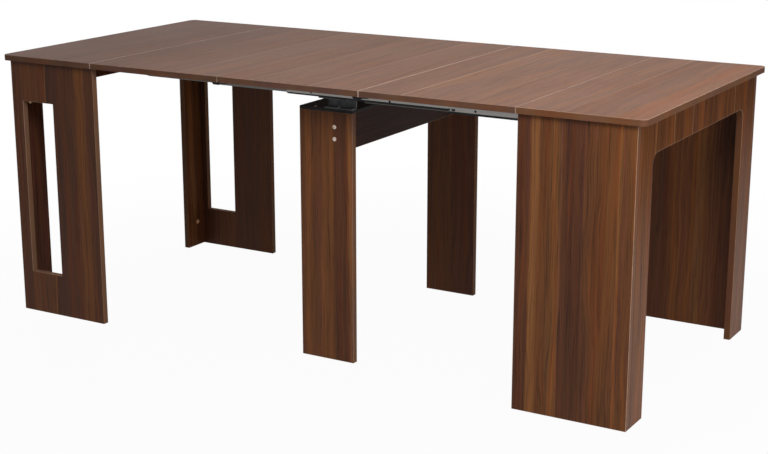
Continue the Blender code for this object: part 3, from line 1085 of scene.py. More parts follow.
@dataclass(frozen=True)
class EdgeBanding:
    """Walnut strip glued to a board's edges, rubbed pale along its arrises.

    Attributes:
        name: Material name.
        upright: Whether the grain runs up the edge, and not along it.
        low: Darker tone of its streaks.
        high: Lighter tone of its streaks.
        rubbed: Colour of the rubbed arrises.
        gloss: Specular level.
        foot_gloss: Specular level by the floor, where it is not the same all the way up.
        streaks: Contrast of its streaks.
        patches: Contrast of its broad patches.
        tint: Share of the ruddy, green and mauve casts.
        rub: Share of the rubbed colour where the wear is full.
        grit: Unevenness of that share.
        rough: Middle roughness.
        uneven: Unevenness of the roughness.
    """

    name: str
    upright: bool
    low: Tone
    high: Tone
    rubbed: Triple
    gloss: float
    foot_gloss: float | None = None
    streaks: float = 1.2
    patches: float = 1.6
    tint: float = 0.8
    rub: float = 0.72
    grit: float = 0.8
    rough: float = 0.48
    uneven: float = 0.2

    def material(self) -> Material:
        """Make the material.

        Returns:
            Walnut streaked along the strip, and paler where it is rubbed.
        """
        graph = NodeGraph(self.name)
        streak = graph.pattern(Texture.UPRIGHT_STREAK if self.upright else Texture.LEVEL_STREAK)
        patches = graph.swing(graph.pattern(Texture.PATCH), self.patches)
        share = graph.total(graph.swing(streak, self.streaks), patches, NOISE_MIDDLE)
        colour = graph.mix(share, self.low.value, self.high.value)
        colour = graph.tinted(self.tint, colour, graph.pattern(Texture.CAST))
        grit = graph.swing(graph.pattern(Texture.GRIT), self.grit)
        rub = graph.math("MULTIPLY", graph.wear(), graph.total(grit, self.rub))
        graph.set("Base Color", graph.mix(rub, colour, self.rubbed))
        graph.set("Roughness", graph.total(graph.swing(streak, self.uneven), self.rough))
        graph.gloss(self.gloss, self.foot_gloss)
        graph.relief(streak, strength=0.08, depth=0.0003)
        return graph.material


CLEAN_BLACK = (0.005, 0.005, 0.006)
DUSTY_BLACK = (0.014, 0.014, 0.015)
DULL_METAL = (0.170, 0.162, 0.154)
BRIGHT_METAL = (0.330, 0.312, 0.296)
BARE_EDGE = (0.085, 0.080, 0.075)


@dataclass(frozen=True)
class DrawnAluminium:
    """Drawn aluminium of a slide member, with a black lip below and a black stop at its end.

    Attributes:
        name: Material name.
        left: Place of the member's left end.
        bottom: Height of the member's underside.
        lip: Height of the black lip.
        bare: Height of the bare edge under the black lip.
        shade: Share of the metal's brightness, below 1 as painted shade on members that lie deep
            under the top.
        stop: Length of the black stop, which is in two bits, or 0 for none.
        notch: Width of the gap between its bits.
        stop_rise: Height of its middle above the underside.
        stop_depth: Its depth.
        gloss: Specular level of the black.
        rough: Middle roughness.
        scored: Unevenness of the roughness from the drawn lines.
        smeared: Unevenness of the roughness from grease.
    """

    name: str
    left: float
    bottom: float
    lip: float = 0.0055
    bare: float = 0.0
    shade: float = 1.0
    stop: float = 0.0
    notch: float = 0.004
    stop_rise: float = 0.0090
    stop_depth: float = 0.0055
    gloss: float = 0.2
    rough: float = 0.42
    scored: float = 0.25
    smeared: float = 0.2

    def material(self) -> Material:
        """Make the material.

        Returns:
            Metal streaked along the member and smeared with grease, black on its lip and stop.
        """
        graph = NodeGraph(self.name)
        line = graph.pattern(Texture.DRAWN)
        smear = graph.pattern(Texture.GREASE)
        height = graph.math("SUBTRACT", graph.axes[Axis.HEIGHT.value], self.bottom)
        lip = graph.math("LESS_THAN", height, self.lip)
        bare = graph.math("LESS_THAN", height, self.bare)
        black = graph.math("SUBTRACT", lip, bare)
        if self.stop:
            black = graph.math("MAXIMUM", black, self._stop(graph, height))
        # The metal's colours times the shade share, which darkens the deeper members as painted
        # shade.
        dull, bright = (
            tuple(self.shade * part for part in colour) for colour in (DULL_METAL, BRIGHT_METAL)
        )
        shown = graph.mix(bare, graph.mix(smear, dull, bright), BARE_EDGE)
        dark = graph.mix(smear, CLEAN_BLACK, DUSTY_BLACK)
        graph.set("Base Color", graph.mix(black, shown, dark))
        graph.set("Metallic", graph.math("SUBTRACT", 1.0, black))
        scored = graph.swing(line, self.scored)
        smeared = graph.swing(smear, self.smeared)
        graph.set("Roughness", graph.total(scored, smeared, self.rough))
        graph.gloss(self.gloss)
        graph.relief(line, strength=0.12, depth=0.0002)
        return graph.material

    def _stop(self, graph: NodeGraph, height: Socket) -> Socket:
        """Where the stop's two bits are.

        Args:
            graph: Nodes of the finish.
            height: Height above the member's underside.

        Returns:
            1 on the stop, and 0 elsewhere.
        """
        length = graph.axes[Axis.LENGTH.value]
        middle = self.left + self.stop / 2
        near = graph.math("COMPARE", length, middle, self.stop / 2)
        parted = graph.math("COMPARE", length, middle - self.notch / 2, self.notch / 2)
        level = graph.math("COMPARE", height, self.stop_rise, self.stop_depth / 2)
        return graph.math("MULTIPLY", level, graph.math("SUBTRACT", near, parted))


@dataclass(frozen=True)
class PlatedMetal:
    """Plated steel or zinc of the small fittings.

    Attributes:
        name: Material name.
        bright: Colour where the plating is clean.
        dull: Colour where it is dull.
        rough: Middle roughness.
        metallic: Share of metal in its shine.
        clouds: Levels of the noise between which it goes from dull to clean.
        uneven: Unevenness of the roughness.
    """

    name: str
    bright: Triple
    dull: Triple
    rough: float
    metallic: float
    clouds: Pair = (0.3, 0.7)
    uneven: float = 0.3

    def material(self) -> Material:
        """Make the material.

        Returns:
            Cloudy and finely pitted metal.
        """
        graph = NodeGraph(self.name)
        cloud = graph.pattern(Texture.CLOUD)
        clean = graph.remap(cloud, *self.clouds)
        graph.set("Base Color", graph.mix(clean, self.dull, self.bright))
        graph.set("Metallic", self.metallic)
        graph.set("Roughness", graph.total(graph.swing(cloud, self.uneven), self.rough))
        graph.relief(graph.pattern(Texture.PITS), strength=0.15, depth=0.0001)
        return graph.material


@dataclass(frozen=True)
class BlackCoating:
    """Black coat on steel or board, or black moulded nylon, a little grey where it is rubbed.

    Attributes:
        name: Material name.
        grain: Grains of texture to the metre.
        rough: Middle roughness.
        rubbed: Colour of rubbed edges.
        gloss: Specular level.
        clean: Colour where the coat is clean.
        dusty: Colour where it is dusty.
        dusting: Levels of the noise between which it goes from clean to dusty.
        rubbing: Levels of the noise between which its worn edges go grey.
        uneven: Unevenness of the roughness.
    """

    name: str
    grain: float
    rough: float
    rubbed: Triple
    gloss: float = 0.16
    clean: Triple = CLEAN_BLACK
    dusty: Triple = DUSTY_BLACK
    dusting: Pair = (0.3, 0.8)
    rubbing: Pair = (0.35, 0.75)
    uneven: float = 0.2

    def material(self) -> Material:
        """Make the material.

        Returns:
            A dusty black with an orange-peel or moulded grain.
        """
        graph = NodeGraph(self.name)
        dust = graph.pattern(Texture.DUST)
        coat = graph.mix(graph.remap(dust, *self.dusting), self.clean, self.dusty)
        rub = graph.math("MULTIPLY", graph.wear(), graph.remap(dust, *self.rubbing))
        graph.set("Base Color", graph.mix(rub, coat, self.rubbed))
        graph.set("Roughness", graph.total(graph.swing(dust, self.uneven), self.rough))
        graph.gloss(self.gloss)
        peel = graph.noise(self.grain, detail=2.0, rough=0.5)
        graph.relief(peel, strength=0.2, depth=0.0002)
        return graph.material


EDGES = (
    EdgeBanding("walnut_edge_flat", False, Tone.DRAB, Tone.TAUPE, (0.80, 0.62, 0.51), 0.03),
    EdgeBanding("walnut_edge_tan", False, Tone.ASH, Tone.PALE_LINE, (0.80, 0.58, 0.45), 0.012),
    EdgeBanding("walnut_edge_upright", True, Tone.ASH, Tone.FAWN, (0.60, 0.36, 0.23), 0.012),
    EdgeBanding("walnut_edge_outer", True, Tone.FAWN, Tone.TAUPE, (0.60, 0.36, 0.23), 0.012, 0.10),
    EdgeBanding("walnut_edge_pale", True, Tone.TAUPE, Tone.SAND, (0.60, 0.39, 0.27), 0.012),
    # The dark band, in soot and dusk, is painted shade on the crossbar's edges under the top.
    EdgeBanding("walnut_edge_dark", False, Tone.SOOT, Tone.DUSK, (0.46, 0.27, 0.175), 0.07),
)
METALS = (
    PlatedMetal("bright_zinc", (0.74, 0.62, 0.53), (0.50, 0.40, 0.34), 0.40, 0.7),
    PlatedMetal("yellow_zinc", (0.92, 0.58, 0.30), (0.72, 0.43, 0.21), 0.44, 0.2),
)
BLACKS = (
    BlackCoating(
        "black_steel",
        900.0,
        0.42,
        (0.24, 0.24, 0.24),
        clean=(0.090, 0.092, 0.093),
        dusty=(0.200, 0.204, 0.206),
    ),
    BlackCoating("black_nylon", 1500.0, 0.50, (0.05, 0.05, 0.055)),
    BlackCoating(
        "black_laminate",
        700.0,
        0.52,
        (0.085, 0.072, 0.062),
        0.10,
        (0.016, 0.014, 0.013),
        (0.040, 0.036, 0.033),
    ),
)


@dataclass(frozen=True)
class Fittings:
    """Finishes that several sub-assemblies share, in the order of the lists above."""

    flat_edge: Material
    tan_edge: Material
    upright_edge: Material
    outer_edge: Material
    pale_edge: Material
    dark_edge: Material
    bright_zinc: Material
    yellow_zinc: Material
    black_steel: Material
    black_nylon: Material
    black_laminate: Material

    @classmethod
    def make(cls) -> Fittings:
        """Make the shared finishes."""
        return cls(*(finish.material() for finish in EDGES + METALS + BLACKS))


# Wear of the lower and upper arrises of flat boards.
TOP_WEAR = (0.15, 0.9)
COVER_WEAR = (0.2, 0.6)
# Wear of the outer and inner arrises of upright boards.
END_WEAR = (0.8, 0.15)
SIDE_WEAR = (0.9, 0.1)
LEG_WEAR = (0.9, 0.3)
# Shares of wear along the edges: of an end panel, from its front foot round the arch, and of a
# side panel's outer and inner edge, its foot and its window.
ARCH_RUBS = (0.2, 0.8, 1.0, 0.8, 0.2, 0.0, 0.0, 0.0)
SIDE_RUBS = (1.0, 0.25)
FOOT_RUB = 0.25
WINDOW_RUBS = (0.6,) * 4
# Shares of wear along the edges of the support's legs and cover board.
LEG_RUBS = (0.4,) * 4
COVER_RUBS = (0.5,) * 4


@dataclass
class EndUnit:
    """One end of the table: its top, arched end panel, two side panels and cam locks.

    Attributes:
        end: Which end it is.
        zinc: Finish of the cam locks.
        top_planks: Planks of the top, from left to right.
        end_planks: Planks of the end panel, from front to rear.
        side_planks: Planks of the front and rear side panels, from left to right.
        edges: Finishes of the edges of the top, the end panel and the side panels.
        top_rubs: Wear of the top's front, right, rear and left edges.
        apron: Depth of the end panel's apron.
        foot_gloss: Specular level of the end panel by the floor.
        window: Low and high corners of the side panels' window, if they have one.
        corner: Radius of the top's outer corners.
        arch: Radius of the arch's corners.
        leg: Width of the end panel's legs.
        ease: Radius of plain corners.
        steps: Segments round the top's and the arch's corners.
        cam: Form of a cam lock.
    """

    end: TableEnd
    zinc: Material
    top_planks: Planks
    end_planks: Planks
    side_planks: tuple[Planks, Planks]
    edges: tuple[Material, Material, Material]
    top_rubs: tuple[float, ...]
    apron: float
    foot_gloss: float
    window: tuple[Pair, Pair] | None = None
    corner: float = 0.018
    arch: float = 0.030
    leg: float = 0.085
    ease: float = 0.0008
    steps: int = 10
    cam: DomedHead = DomedHead(0.0074, 0.0016, 0.0066, 0.0115, Recess.CROSS, 0.0042, 0.0008)

    def build(self) -> None:
        """Make the boards and the cam locks."""
        top_edge, end_edge, side_edge = self.edges
        self._top(top_edge)
        self._end_panel(end_edge)
        for side, layout in zip(LongSide, self.side_planks):
            self._side_panel(side, layout, side_edge)
            for level in ("lower", "upper"):
                self._cam_lock(f"{self.end.label}_{side.label}_{level}_cam_lock")

    def _top(self, edge: Material) -> None:
        """End top: a flat board whose two outer corners are rounded.

        Args:
            edge: Finish of its edges.
        """
        node = f"{self.end.label}_end_top"
        board = Board.filling(
            node, self.end.body, "walnut_top", Lie.FLAT, self.ease, self.top_rubs, TOP_WEAR
        )
        left, right = self.end.outward((self.corner, self.ease))
        radii = (left, right, right, left)
        board.outline = replace(board.outline, radii=radii, steps=self.steps)
        board.build(WalnutLaminate.flat(node, self.top_planks), edge)

    def _end_panel(self, edge: Material) -> None:
        """Arched end panel: two legs under an apron, cut from one board.

        Args:
            edge: Finish of its edges.
        """
        node = f"{self.end.label}_end_panel"
        low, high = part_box(node)
        crown = high.z - self.apron
        near, far = low.y + self.leg, high.y - self.leg
        corners = (
            (low.y, low.z),
            (near, low.z),
            (near, crown),
            (far, crown),
            (far, low.z),
            (high.y, low.z),
            (high.y, high.z),
            (low.y, high.z),
        )
        radii = tuple(self.arch if corner[1] == crown else self.ease for corner in corners)
        board = Board(
            node,
            self.end.body,
            "walnut_panel",
            Lie.END,
            Outline(corners, radii, self.steps, ARCH_RUBS),
            worn_faces=self.end.outward(END_WEAR),
        )
        finish = WalnutLaminate(node, self.end_planks, Axis.WIDTH, gloss=0.003)
        finish = replace(finish, foot_gloss=self.foot_gloss, figure=1.3, bold=1.3)
        board.build(finish.material(), edge)

    def _side_panel(self, side: LongSide, layout: Planks, edge: Material) -> None:
        """Side panel, with its window where this end has one.

        Args:
            side: Long side that it stands on.
            layout: Planks of its face, from left to right.
            edge: Finish of its edges.
        """
        node = f"{self.end.label}_{side.label}_side_panel"
        left, right = self.end.outward(SIDE_RUBS)
        rubbed = (FOOT_RUB, right, 0.0, left)
        worn = side.outward(SIDE_WEAR)
        board = Board.filling(
            node, self.end.body, "walnut_panel", Lie.LONG_SIDE, self.ease, rubbed, worn
        )
        if self.window is not None:
            board.hole = rectangle(*self.window, self.ease, WINDOW_RUBS)
        board.build(WalnutLaminate(node, layout).material(), edge)

    def _cam_lock(self, node: str) -> None:
        """Cam lock let into the inner face of the end panel.

        Args:
            node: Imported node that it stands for.
        """
        low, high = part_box(node)
        _, inner = self.end.outward((low.x, high.x))
        inward = -self.end.value
        seat = inner + inward * EASE
        self.cam.build(node, self.end.body, "yellow_zinc", self.zinc, Axis.LENGTH, seat, inward)


@dataclass
class LeafRow:
    """The three loose leaves and the clips that hold them level.

    Attributes:
        fittings: Shared finishes.
        planks: Planks of each leaf, from left to right.
        rubs: Wear along each leaf's left and right edge.
        side_rub: Wear along their front and rear edges.
        ease: Radius of the leaves' corners.
        clip_body: Depth of a clip's thick half.
        clip_tongue: Depth of its tongue.
        clip_radii: Radii of its outline's corners, from the upper left one down.
        clip_arris: Rounding of its edges.
    """

    fittings: Fittings
    planks: tuple[Planks, ...]
    rubs: tuple[Pair, ...] = ((1.0, 0.4), (0.4, 1.0), (1.0, 0.6))
    side_rub: float = 0.3
    ease: float = 0.0012
    clip_body: float = 0.008
    clip_tongue: float = 0.004
    clip_radii: tuple[float, ...] = (0.0006, 0.0015, 0.0015, 0.0015, 0.002, 0.002, 0.0006)
    clip_arris: Arris = Arris(0.0012)

    def build(self) -> None:
        """Make the leaves, banded all round, and the clips."""
        for number, (layout, rubs) in enumerate(zip(self.planks, self.rubs), start=1):
            node, body = f"leaf_{number}", f"loose_leaf_{number}"
            left, right = rubs
            rubbed = (self.side_rub, right, self.side_rub, left)
            board = Board.filling(node, body, "walnut_top", Lie.FLAT, self.ease, rubbed, TOP_WEAR)
            board.build(WalnutLaminate.flat(node, layout), self.fittings.flat_edge)
            if number < len(self.planks):
                for side in LongSide:
                    self._clip(f"{node}_{side.label}_clip", body)

    def _clip(self, node: str, body: str) -> None:
        """One clip: a wedge under the leaf's edge whose tongue reaches under the next leaf.

        Args:
            node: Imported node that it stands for.
            body: Body of its leaf.
        """
        low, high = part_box(node)
        thick, thin = high.z - self.clip_body, high.z - self.clip_tongue
        slope = self.clip_body - self.clip_tongue
        seam = (low.x + high.x) / 2
        corners = (
            (low.x, high.z),
            (low.x, thin),
            (low.x + slope, thick),
            (seam, thick),
            (seam + slope, thin),
            (high.x, thin),
            (high.x, high.z),
        )
        outline = Outline(corners, self.clip_radii, steps=4)
        board = Board(node, body, "black_plastic", Lie.LONG_SIDE, outline, arris=self.clip_arris)
        board.build(self.fittings.black_nylon)


@dataclass
class SlideRun:
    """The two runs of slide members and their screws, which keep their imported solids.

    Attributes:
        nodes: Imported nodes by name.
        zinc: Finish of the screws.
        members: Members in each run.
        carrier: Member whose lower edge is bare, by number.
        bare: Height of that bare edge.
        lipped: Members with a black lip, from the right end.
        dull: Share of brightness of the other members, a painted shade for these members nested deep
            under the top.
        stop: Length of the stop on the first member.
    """

    nodes: dict[str, Piece]
    zinc: Material
    members: int = 6
    carrier: int = 2
    bare: float = 0.0035
    lipped: int = 3
    dull: float = 0.45
    stop: float = 0.020

    def build(self) -> None:
        """Finish every member and screw."""
        for number in range(1, self.members + 1):
            finish = self._metal(number).material()
            for side in LongSide:
                self._dress(f"{side.label}_slide_{number}", finish)
        for side in LongSide:
            for run in ("fixed", "moving"):
                for number in (1, 2):
                    self._dress(f"{side.label}_{run}_slide_screw_{number}", self.zinc)

    def _metal(self, number: int) -> DrawnAluminium:
        """Finish of the front and rear members of one number.

        Args:
            number: The number, from the right end.

        Returns:
            The finish, with a lip and a stop where the members have them, and darker as painted
            shade for the deeper ones.
        """
        low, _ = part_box(f"front_slide_{number}")
        metal = DrawnAluminium(f"slide_aluminium_{number}", low.x, low.z)
        if number == 1:
            metal = replace(metal, stop=self.stop)
        if number == self.carrier:
            metal = replace(metal, lip=metal.lip + self.bare, bare=self.bare)
        # Members past the lipped ones lie deep under the top; their darker metal is painted shade.
        if number > self.lipped:
            metal = replace(metal, lip=0.0, shade=self.dull)
        return metal

    def _dress(self, node: str, material: Material) -> None:
        """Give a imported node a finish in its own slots.

        Args:
            node: Name of the node.
            material: The finish.
        """
        kept = self.nodes[node]
        if not kept.material_slots:
            kept.data.materials.append(material)
        for slot in kept.material_slots:
            slot.material = material
        LOG.info("%s keeps its solid, finished with %s", node, material.name)


@dataclass
class SupportFrame:
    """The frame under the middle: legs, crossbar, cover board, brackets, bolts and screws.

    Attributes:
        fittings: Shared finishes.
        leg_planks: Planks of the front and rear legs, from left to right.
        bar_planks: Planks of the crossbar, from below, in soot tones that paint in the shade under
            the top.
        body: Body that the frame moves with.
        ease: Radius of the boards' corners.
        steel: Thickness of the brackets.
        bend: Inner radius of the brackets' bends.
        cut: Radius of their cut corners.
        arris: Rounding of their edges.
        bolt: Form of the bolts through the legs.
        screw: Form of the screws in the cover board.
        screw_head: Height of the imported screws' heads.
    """

    fittings: Fittings
    leg_planks: tuple[Planks, Planks]
    bar_planks: Planks
    body: str = "slide_stage_2"
    ease: float = 0.0008
    steel: float = 0.003
    bend: float = 0.002
    cut: float = 0.0006
    arris: Arris = Arris(0.0005)
    bolt: DomedHead = DomedHead(0.006, 0.003, 0.003, 0.048, Recess.HEX, 0.0026, 0.0014)
    screw: DomedHead = DomedHead(0.0038, 0.0020, 0.0016, 0.030, Recess.CROSS, 0.0024, 0.0011)
    screw_head: float = 0.002

    def build(self) -> None:
        """Make the frame's boards, brackets, bolts and screws."""
        self._crossbar()
        self._cover()
        for side, layout in zip(LongSide, self.leg_planks):
            self._leg(side, layout)
            self._bracket(side)
            for level in ("lower", "upper"):
                self._bolt(side, f"support_{side.label}_{level}_bolt")
            for number in (1, 2):
                self._cover_screw(f"support_{side.label}_cover_screw_{number}")

    def _crossbar(self) -> None:
        """Crossbar, a board on its edge between the legs, printed in soot tones with a dark edge
        band as painted shade for the shadow under the top.
        """
        node = "support_crossbar"
        finish = WalnutLaminate(node, self.bar_planks, Axis.HEIGHT, Axis.WIDTH, gloss=0.05)
        board = Board.filling(node, self.body, "walnut_dark", Lie.END, self.ease)
        board.build(finish.material(), self.fittings.dark_edge)

    def _cover(self) -> None:
        """Cover board, a thin black board on top of the legs and the crossbar."""
        node, slot = "support_top_board", "black_laminate"
        board = Board.filling(node, self.body, slot, Lie.FLAT, self.ease, COVER_RUBS, COVER_WEAR)
        board.build(self.fittings.black_laminate, self.fittings.black_laminate)

    def _leg(self, side: LongSide, layout: Planks) -> None:
        """One leg, a board with its wide face to the long side.

        Args:
            side: Long side that it stands on.
            layout: Its planks, from left to right.
        """
        node = f"support_{side.label}_leg"
        worn = side.outward(LEG_WEAR)
        board = Board.filling(
            node, self.body, "walnut_panel", Lie.LONG_SIDE, self.ease, LEG_RUBS, worn
        )
        board.build(WalnutLaminate(node, layout).material(), self.fittings.pale_edge)

    def _leg_face(self, side: LongSide) -> float:
        """Place of a leg's outer face across the table."""
        low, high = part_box(f"support_{side.label}_leg")
        return side.outward((low.y, high.y))[0]

    def _bracket(self, side: LongSide) -> None:
        """One bracket: a strip bent to a foot, a riser and a flange, carried along the table.

        Args:
            side: Long side of its leg.
        """
        node = f"support_{side.label}_bracket"
        low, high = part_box(node)
        toe = self._leg_face(side)
        outer, inner = side.outward((low.y, high.y))
        riser = inner + side.value * self.steel
        foot, flange = low.z + self.steel, high.z - self.steel
        corners = (
            (toe, low.z),
            (inner, low.z),
            (inner, high.z),
            (outer, high.z),
            (outer, flange),
            (riser, flange),
            (riser, foot),
            (toe, foot),
        )
        wide = self.bend + self.steel
        radii = (self.cut, wide, wide, self.cut, self.cut, self.bend, self.bend, self.cut)
        way = -side.value
        outline = Outline(corners[::way], radii[::way], steps=5)
        board = Board(node, self.body, "black_steel", Lie.END, outline, arris=self.arris)
        board.build(self.fittings.black_steel)

    def _cover_screw(self, node: str) -> None:
        """One screw down through the cover board into a leg.

        Args:
            node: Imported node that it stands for.
        """
        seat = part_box(node)[1].z - self.screw_head
        zinc = self.fittings.bright_zinc
        self.screw.build(node, self.body, "bright_zinc", zinc, Axis.HEIGHT, seat, 1)

    def _bolt(self, side: LongSide, node: str) -> None:
        """One bolt through a leg into the crossbar.

        Args:
            side: Long side of its leg.
            node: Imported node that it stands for.
        """
        seat = self._leg_face(side) + side.value * EASE
        zinc = self.fittings.bright_zinc
        self.bolt.build(node, self.body, "bright_zinc", zinc, Axis.WIDTH, seat, side.value)


def hung(name: str, data: bpy.types.ID, place: Triple, ahead: Vector) -> Piece:
    """Hang a lamp or camera at a place.

    Args:
        name: Its name.
        data: The lamp or camera.
        place: Its place.
        ahead: Direction that it looks in.

    Returns:
        The object, linked into the scene.
    """
    made = bpy.data.objects.new(name, data)
    made.location = place
    made.rotation_mode = "QUATERNION"
    made.rotation_quaternion = ahead.to_track_quat("-Z", "Y")
    bpy.context.scene.collection.objects.link(made)
    return made


@dataclass(frozen=True)
class SoftLamp:
    """Soft square lamp.

    Attributes:
        name: Its name.
        place: Its place.
        aim: Point that it looks at.
        size: Side of its face.
        power: Its power in watts.
        spread: Angle of its beam, in degrees.
    """

    name: str
    place: Triple
    aim: Triple
    size: float
    power: float
    spread: float = 120.0

    def build(self) -> None:
        """Hang the lamp, out of sight of the eye and of reflections."""
        light = bpy.data.lights.new(self.name, "AREA")
        light.shape = "SQUARE"
        light.size = self.size
        light.energy = self.power
        light.spread = math.radians(self.spread)
        lamp = hung(self.name, light, self.place, Vector(self.aim) - Vector(self.place))
        lamp.visible_camera = False
        lamp.visible_glossy = False


@dataclass
class Studio:
    """White floor and backdrop, soft lamps, and the camera.

    Attributes:
        lamps: The soft lamps.
        ambient: Level of the light from all round.
        sky: Colour of that light.
        glow: Share of white in the floor by the table, as the camera sees it.
        floor_tone: Grey of the floor as the lamps light it.
        floor_radius: Radius of the floor.
        floor_hub: Radius of its innermost ring.
        floor_rings: Rings of points in it.
        floor_sides: Points in each ring.
        floor_drop: Distance by which it lies under the feet.
        near_floor: Distance within which the floor keeps the table's shadow.
        far_floor: Distance beyond which the floor is as white as the backdrop.
        camera_place: Place of the camera.
        heading: Turn of the view to the left of +Y, in degrees.
        dip: Dip of the view below the horizon, in degrees.
        lens: Focal length in millimetres.
        film: Width of the camera's sensor in millimetres.
    """

    lamps: tuple[SoftLamp, ...] = (
        SoftLamp("key_lamp", (1.3, -2.1, 2.9), (0.2, 0.0, 0.55), 1.5, 29.0),
        SoftLamp("side_lamp", (2.7, -1.1, 0.8), (0.6, 0.0, 0.45), 1.8, 11.0),
        SoftLamp("top_lamp", (0.9, 0.1, 2.6), (0.9, 0.1, 0.7), 1.2, 5.0, 95.0),
        SoftLamp("rear_lamp", (-2.4, 2.8, 1.4), (0.0, 0.0, 0.4), 1.6, 17.0),
    )
    ambient: float = 0.13
    sky: Triple = (0.94, 0.98, 1.10)
    glow: float = 0.96
    floor_tone: float = 0.38
    floor_radius: float = 14.0
    floor_hub: float = 0.05
    floor_rings: int = 24
    floor_sides: int = 64
    floor_drop: float = 0.0005
    near_floor: float = 0.9
    far_floor: float = 2.2
    camera_place: Triple = (2.198, -3.706, 1.426)
    heading: float = 30.35
    dip: float = 14.93
    lens: float = 72.7
    film: float = 36.0

    def build(self) -> None:
        """Set the stage."""
        bpy.context.scene.view_settings.view_transform = "Standard"
        self._camera()
        self._world()
        self._floor()
        for lamp in self.lamps:
            lamp.build()

    def _camera(self) -> None:
        """Camera at the photograph's place, with no shift."""
        data = bpy.data.cameras.new("camera")
        data.lens = self.lens
        data.sensor_width = self.film
        turn, dip = math.radians(self.heading), math.radians(self.dip)
        level = math.cos(dip)
        ahead = Vector((-math.sin(turn) * level, math.cos(turn) * level, -math.sin(dip)))
        bpy.context.scene.camera = hung("camera", data, self.camera_place, ahead)

    def _world(self) -> None:
        """White to the eye, and a weak even light on the table."""
        world = bpy.data.worlds.new("studio")
        bpy.context.scene.world = world
        world.use_nodes = True
        wiring = Wiring(world.node_tree)
        lit = wiring.add("Background", {"Color": self.sky, "Strength": self.ambient})
        white = wiring.add("Background", {"Color": (1.0, 1.0, 1.0), "Strength": 1.0})
        wiring.show(wiring.seen(), lit.outputs[0], white.outputs[0], "OutputWorld")

    def _floor(self) -> None:
        """Round white floor: point (i, j) lies at radius i and angle j, just below the feet."""
        radius = np.geomspace(self.floor_hub, self.floor_radius, self.floor_rings)[:, None]
        turn = np.linspace(0.0, 2 * np.pi, self.floor_sides, endpoint=False)
        flat = [radius * np.cos(turn), radius * np.sin(turn), radius * np.zeros_like(turn)]
        points = np.concatenate([np.stack(flat, axis=-1).reshape(-1, 3), np.zeros((1, 3))])
        index = np.arange(len(points) - 1).reshape(self.floor_rings, self.floor_sides)
        inner, outer = index[:-1], index[1:]
        cells = np.stack([inner, outer, np.roll(outer, -1, 1), np.roll(inner, -1, 1)], axis=-1)
        middle = np.full(self.floor_sides, index.size)
        hub = np.stack([index[0], np.roll(index[0], -1), middle], axis=-1)
        mesh = bpy.data.meshes.new("studio_floor")
        mesh.from_pydata(points.tolist(), [], cells.reshape(-1, 4).tolist() + hub.tolist())
        floor = bpy.data.objects.new("studio_floor", mesh)
        bpy.context.scene.collection.objects.link(floor)
        floor.location.z = -self.floor_drop
        mesh.materials.append(self._white_floor())

    def _white_floor(self) -> Material:
        """Finish of the floor.

        Returns:
            Grey under the lamps, mostly white to the eye, and all white away from the table.
        """
        material = bpy.data.materials.new("white_floor")
        material.use_nodes = True
        wiring = Wiring(material.node_tree)
        matt = wiring.add("BsdfDiffuse", {"Color": (self.floor_tone,) * 3})
        white = wiring.add("Emission", {"Strength": 1.0})
        place = wiring.add("TexCoord", {}).outputs["Object"]
        reach = wiring.add("VectorMath", {0: place}, operation="LENGTH").outputs["Value"]
        bounds = {"From Min": self.near_floor, "From Max": self.far_floor, "To Min": self.glow}
        fade = wiring.add("MapRange", {"Value": reach, **bounds}).outputs["Result"]
        share = wiring.math("MULTIPLY", wiring.seen(), fade)
        wiring.show(share, matt.outputs[0], white.outputs[0], "OutputMaterial")
        return material


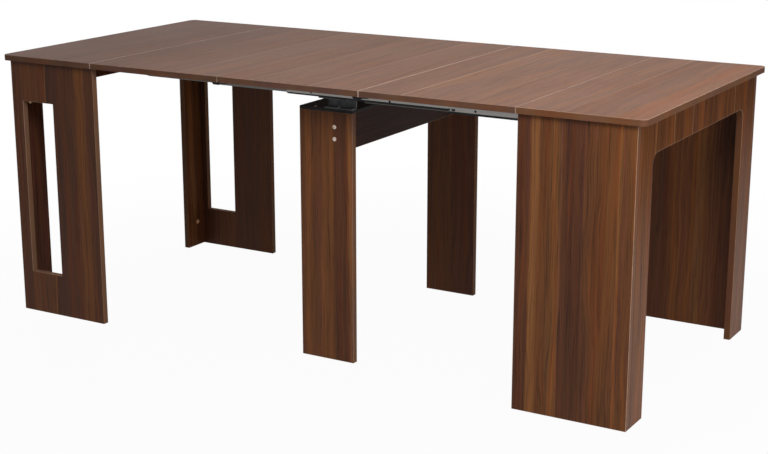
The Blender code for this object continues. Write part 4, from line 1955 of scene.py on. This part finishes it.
LEFT_TOP = planks("85 dusk, 3 ash, 125 dusk, 112 umber_ash")
LEAF_ONE = planks("118 umber_ash, 4 buff, 99 teak, 74 teak, 4 sand, 134 fallow")
LEAF_TWO = planks("104 ash, 4 sand, 99 fallow, 76 ash, 4 sand, 146 fallow")
LEAF_THREE = planks("121 fallow, 4 flax, 80 buff, 98 fallow, 4 taupe, 126 fallow")
RIGHT_TOP = planks("122 fallow, 4 taupe, 63 teak, 61 ash, 40 chestnut, 35 fawn")
RIGHT_FRONT = planks(
    "36 smoked, 4 chestnut, 18 honey, 30 umber, 25 olive, 4 fawn, 14 smoked, 36 cocoa, "
    "10 smoked, 50 umber, 33 chestnut, 7 honey, 35 chestnut"
)
RIGHT_REAR = planks("72 smoked, 15 umber, 65 russet, 23 honey, 43 chestnut, 84 smoked")
LEFT_FRONT = planks(
    "41 smoked, 41 umber, 42 umber, 5 honey, 51 cocoa, 51 smoked, 37 chestnut, 34 smoked"
)
# The left rear panel's first plank, in the corner by the end panel, is printed in cocoa as painted
# shade for the corner's shadow.
LEFT_REAR = planks("40 cocoa, 24 smoked, 72 umber, 14 chestnut, 90 smoked, 62 umber")
RIGHT_END = planks(
    "74 chestnut, 24 russet, 7 pale_line, 60 umber, 52 russet, 8 pale_line, 70 umber, "
    "52 chestnut, 8 pale_line, 40 umber, 40 russet, 100 umber, 5 fawn, 60 russet, 76 chestnut, "
    "8 pale_line, 160 chestnut"
)
# The left end panel's first plank, by the front leg, is printed in cocoa as painted shade for the
# shadow that the front side panel casts on the leg's inner face.
LEFT_END = planks(
    "110 cocoa, 14 honey, 130 chestnut, 150 smoked, 12 olive, 180 umber, 167 smoked, "
    "14 chestnut, 24 honey, 42 umber"
)
SUPPORT_FRONT = planks("20 umber, 10 honey, 34 umber, 40 chestnut, 45 smoked, 13 honey")
SUPPORT_REAR = planks("82 umber, 80 smoked")
# The crossbar's soot tones are painted shade: they are darker than any other walnut because the
# crossbar stands in the shadow under the top.
SHADED_CROSSBAR = planks("65 soot, 50 soot")


def main() -> None:
    """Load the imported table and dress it, one sub-assembly after another."""
    logging.basicConfig(level=logging.INFO, format="%(message)s")
    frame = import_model()
    Studio().build()
    fittings = Fittings.make()
    right = EndUnit(
        TableEnd.RIGHT,
        fittings.yellow_zinc,
        RIGHT_TOP,
        RIGHT_END,
        (RIGHT_FRONT, RIGHT_REAR),
        (fittings.tan_edge, fittings.upright_edge, fittings.outer_edge),
        top_rubs=(0.45, 0.60, 0.45, 0.6),
        apron=0.085,
        foot_gloss=0.11,
    )
    left = EndUnit(
        TableEnd.LEFT,
        fittings.yellow_zinc,
        LEFT_TOP,
        LEFT_END,
        (LEFT_FRONT, LEFT_REAR),
        (fittings.flat_edge, fittings.pale_edge, fittings.pale_edge),
        top_rubs=(0.3, 1.0, 0.3, 0.3),
        apron=0.097,
        foot_gloss=0.03,
        window=((-0.9141, 0.122), (-0.8021, 0.6297)),
    )
    right.build()
    left.build()
    LeafRow(fittings, (LEAF_ONE, LEAF_TWO, LEAF_THREE)).build()
    SlideRun(frame["nodes"], fittings.bright_zinc).build()
    SupportFrame(fittings, (SUPPORT_FRONT, SUPPORT_REAR), SHADED_CROSSBAR).build()


if __name__ == "__main__":
    main()
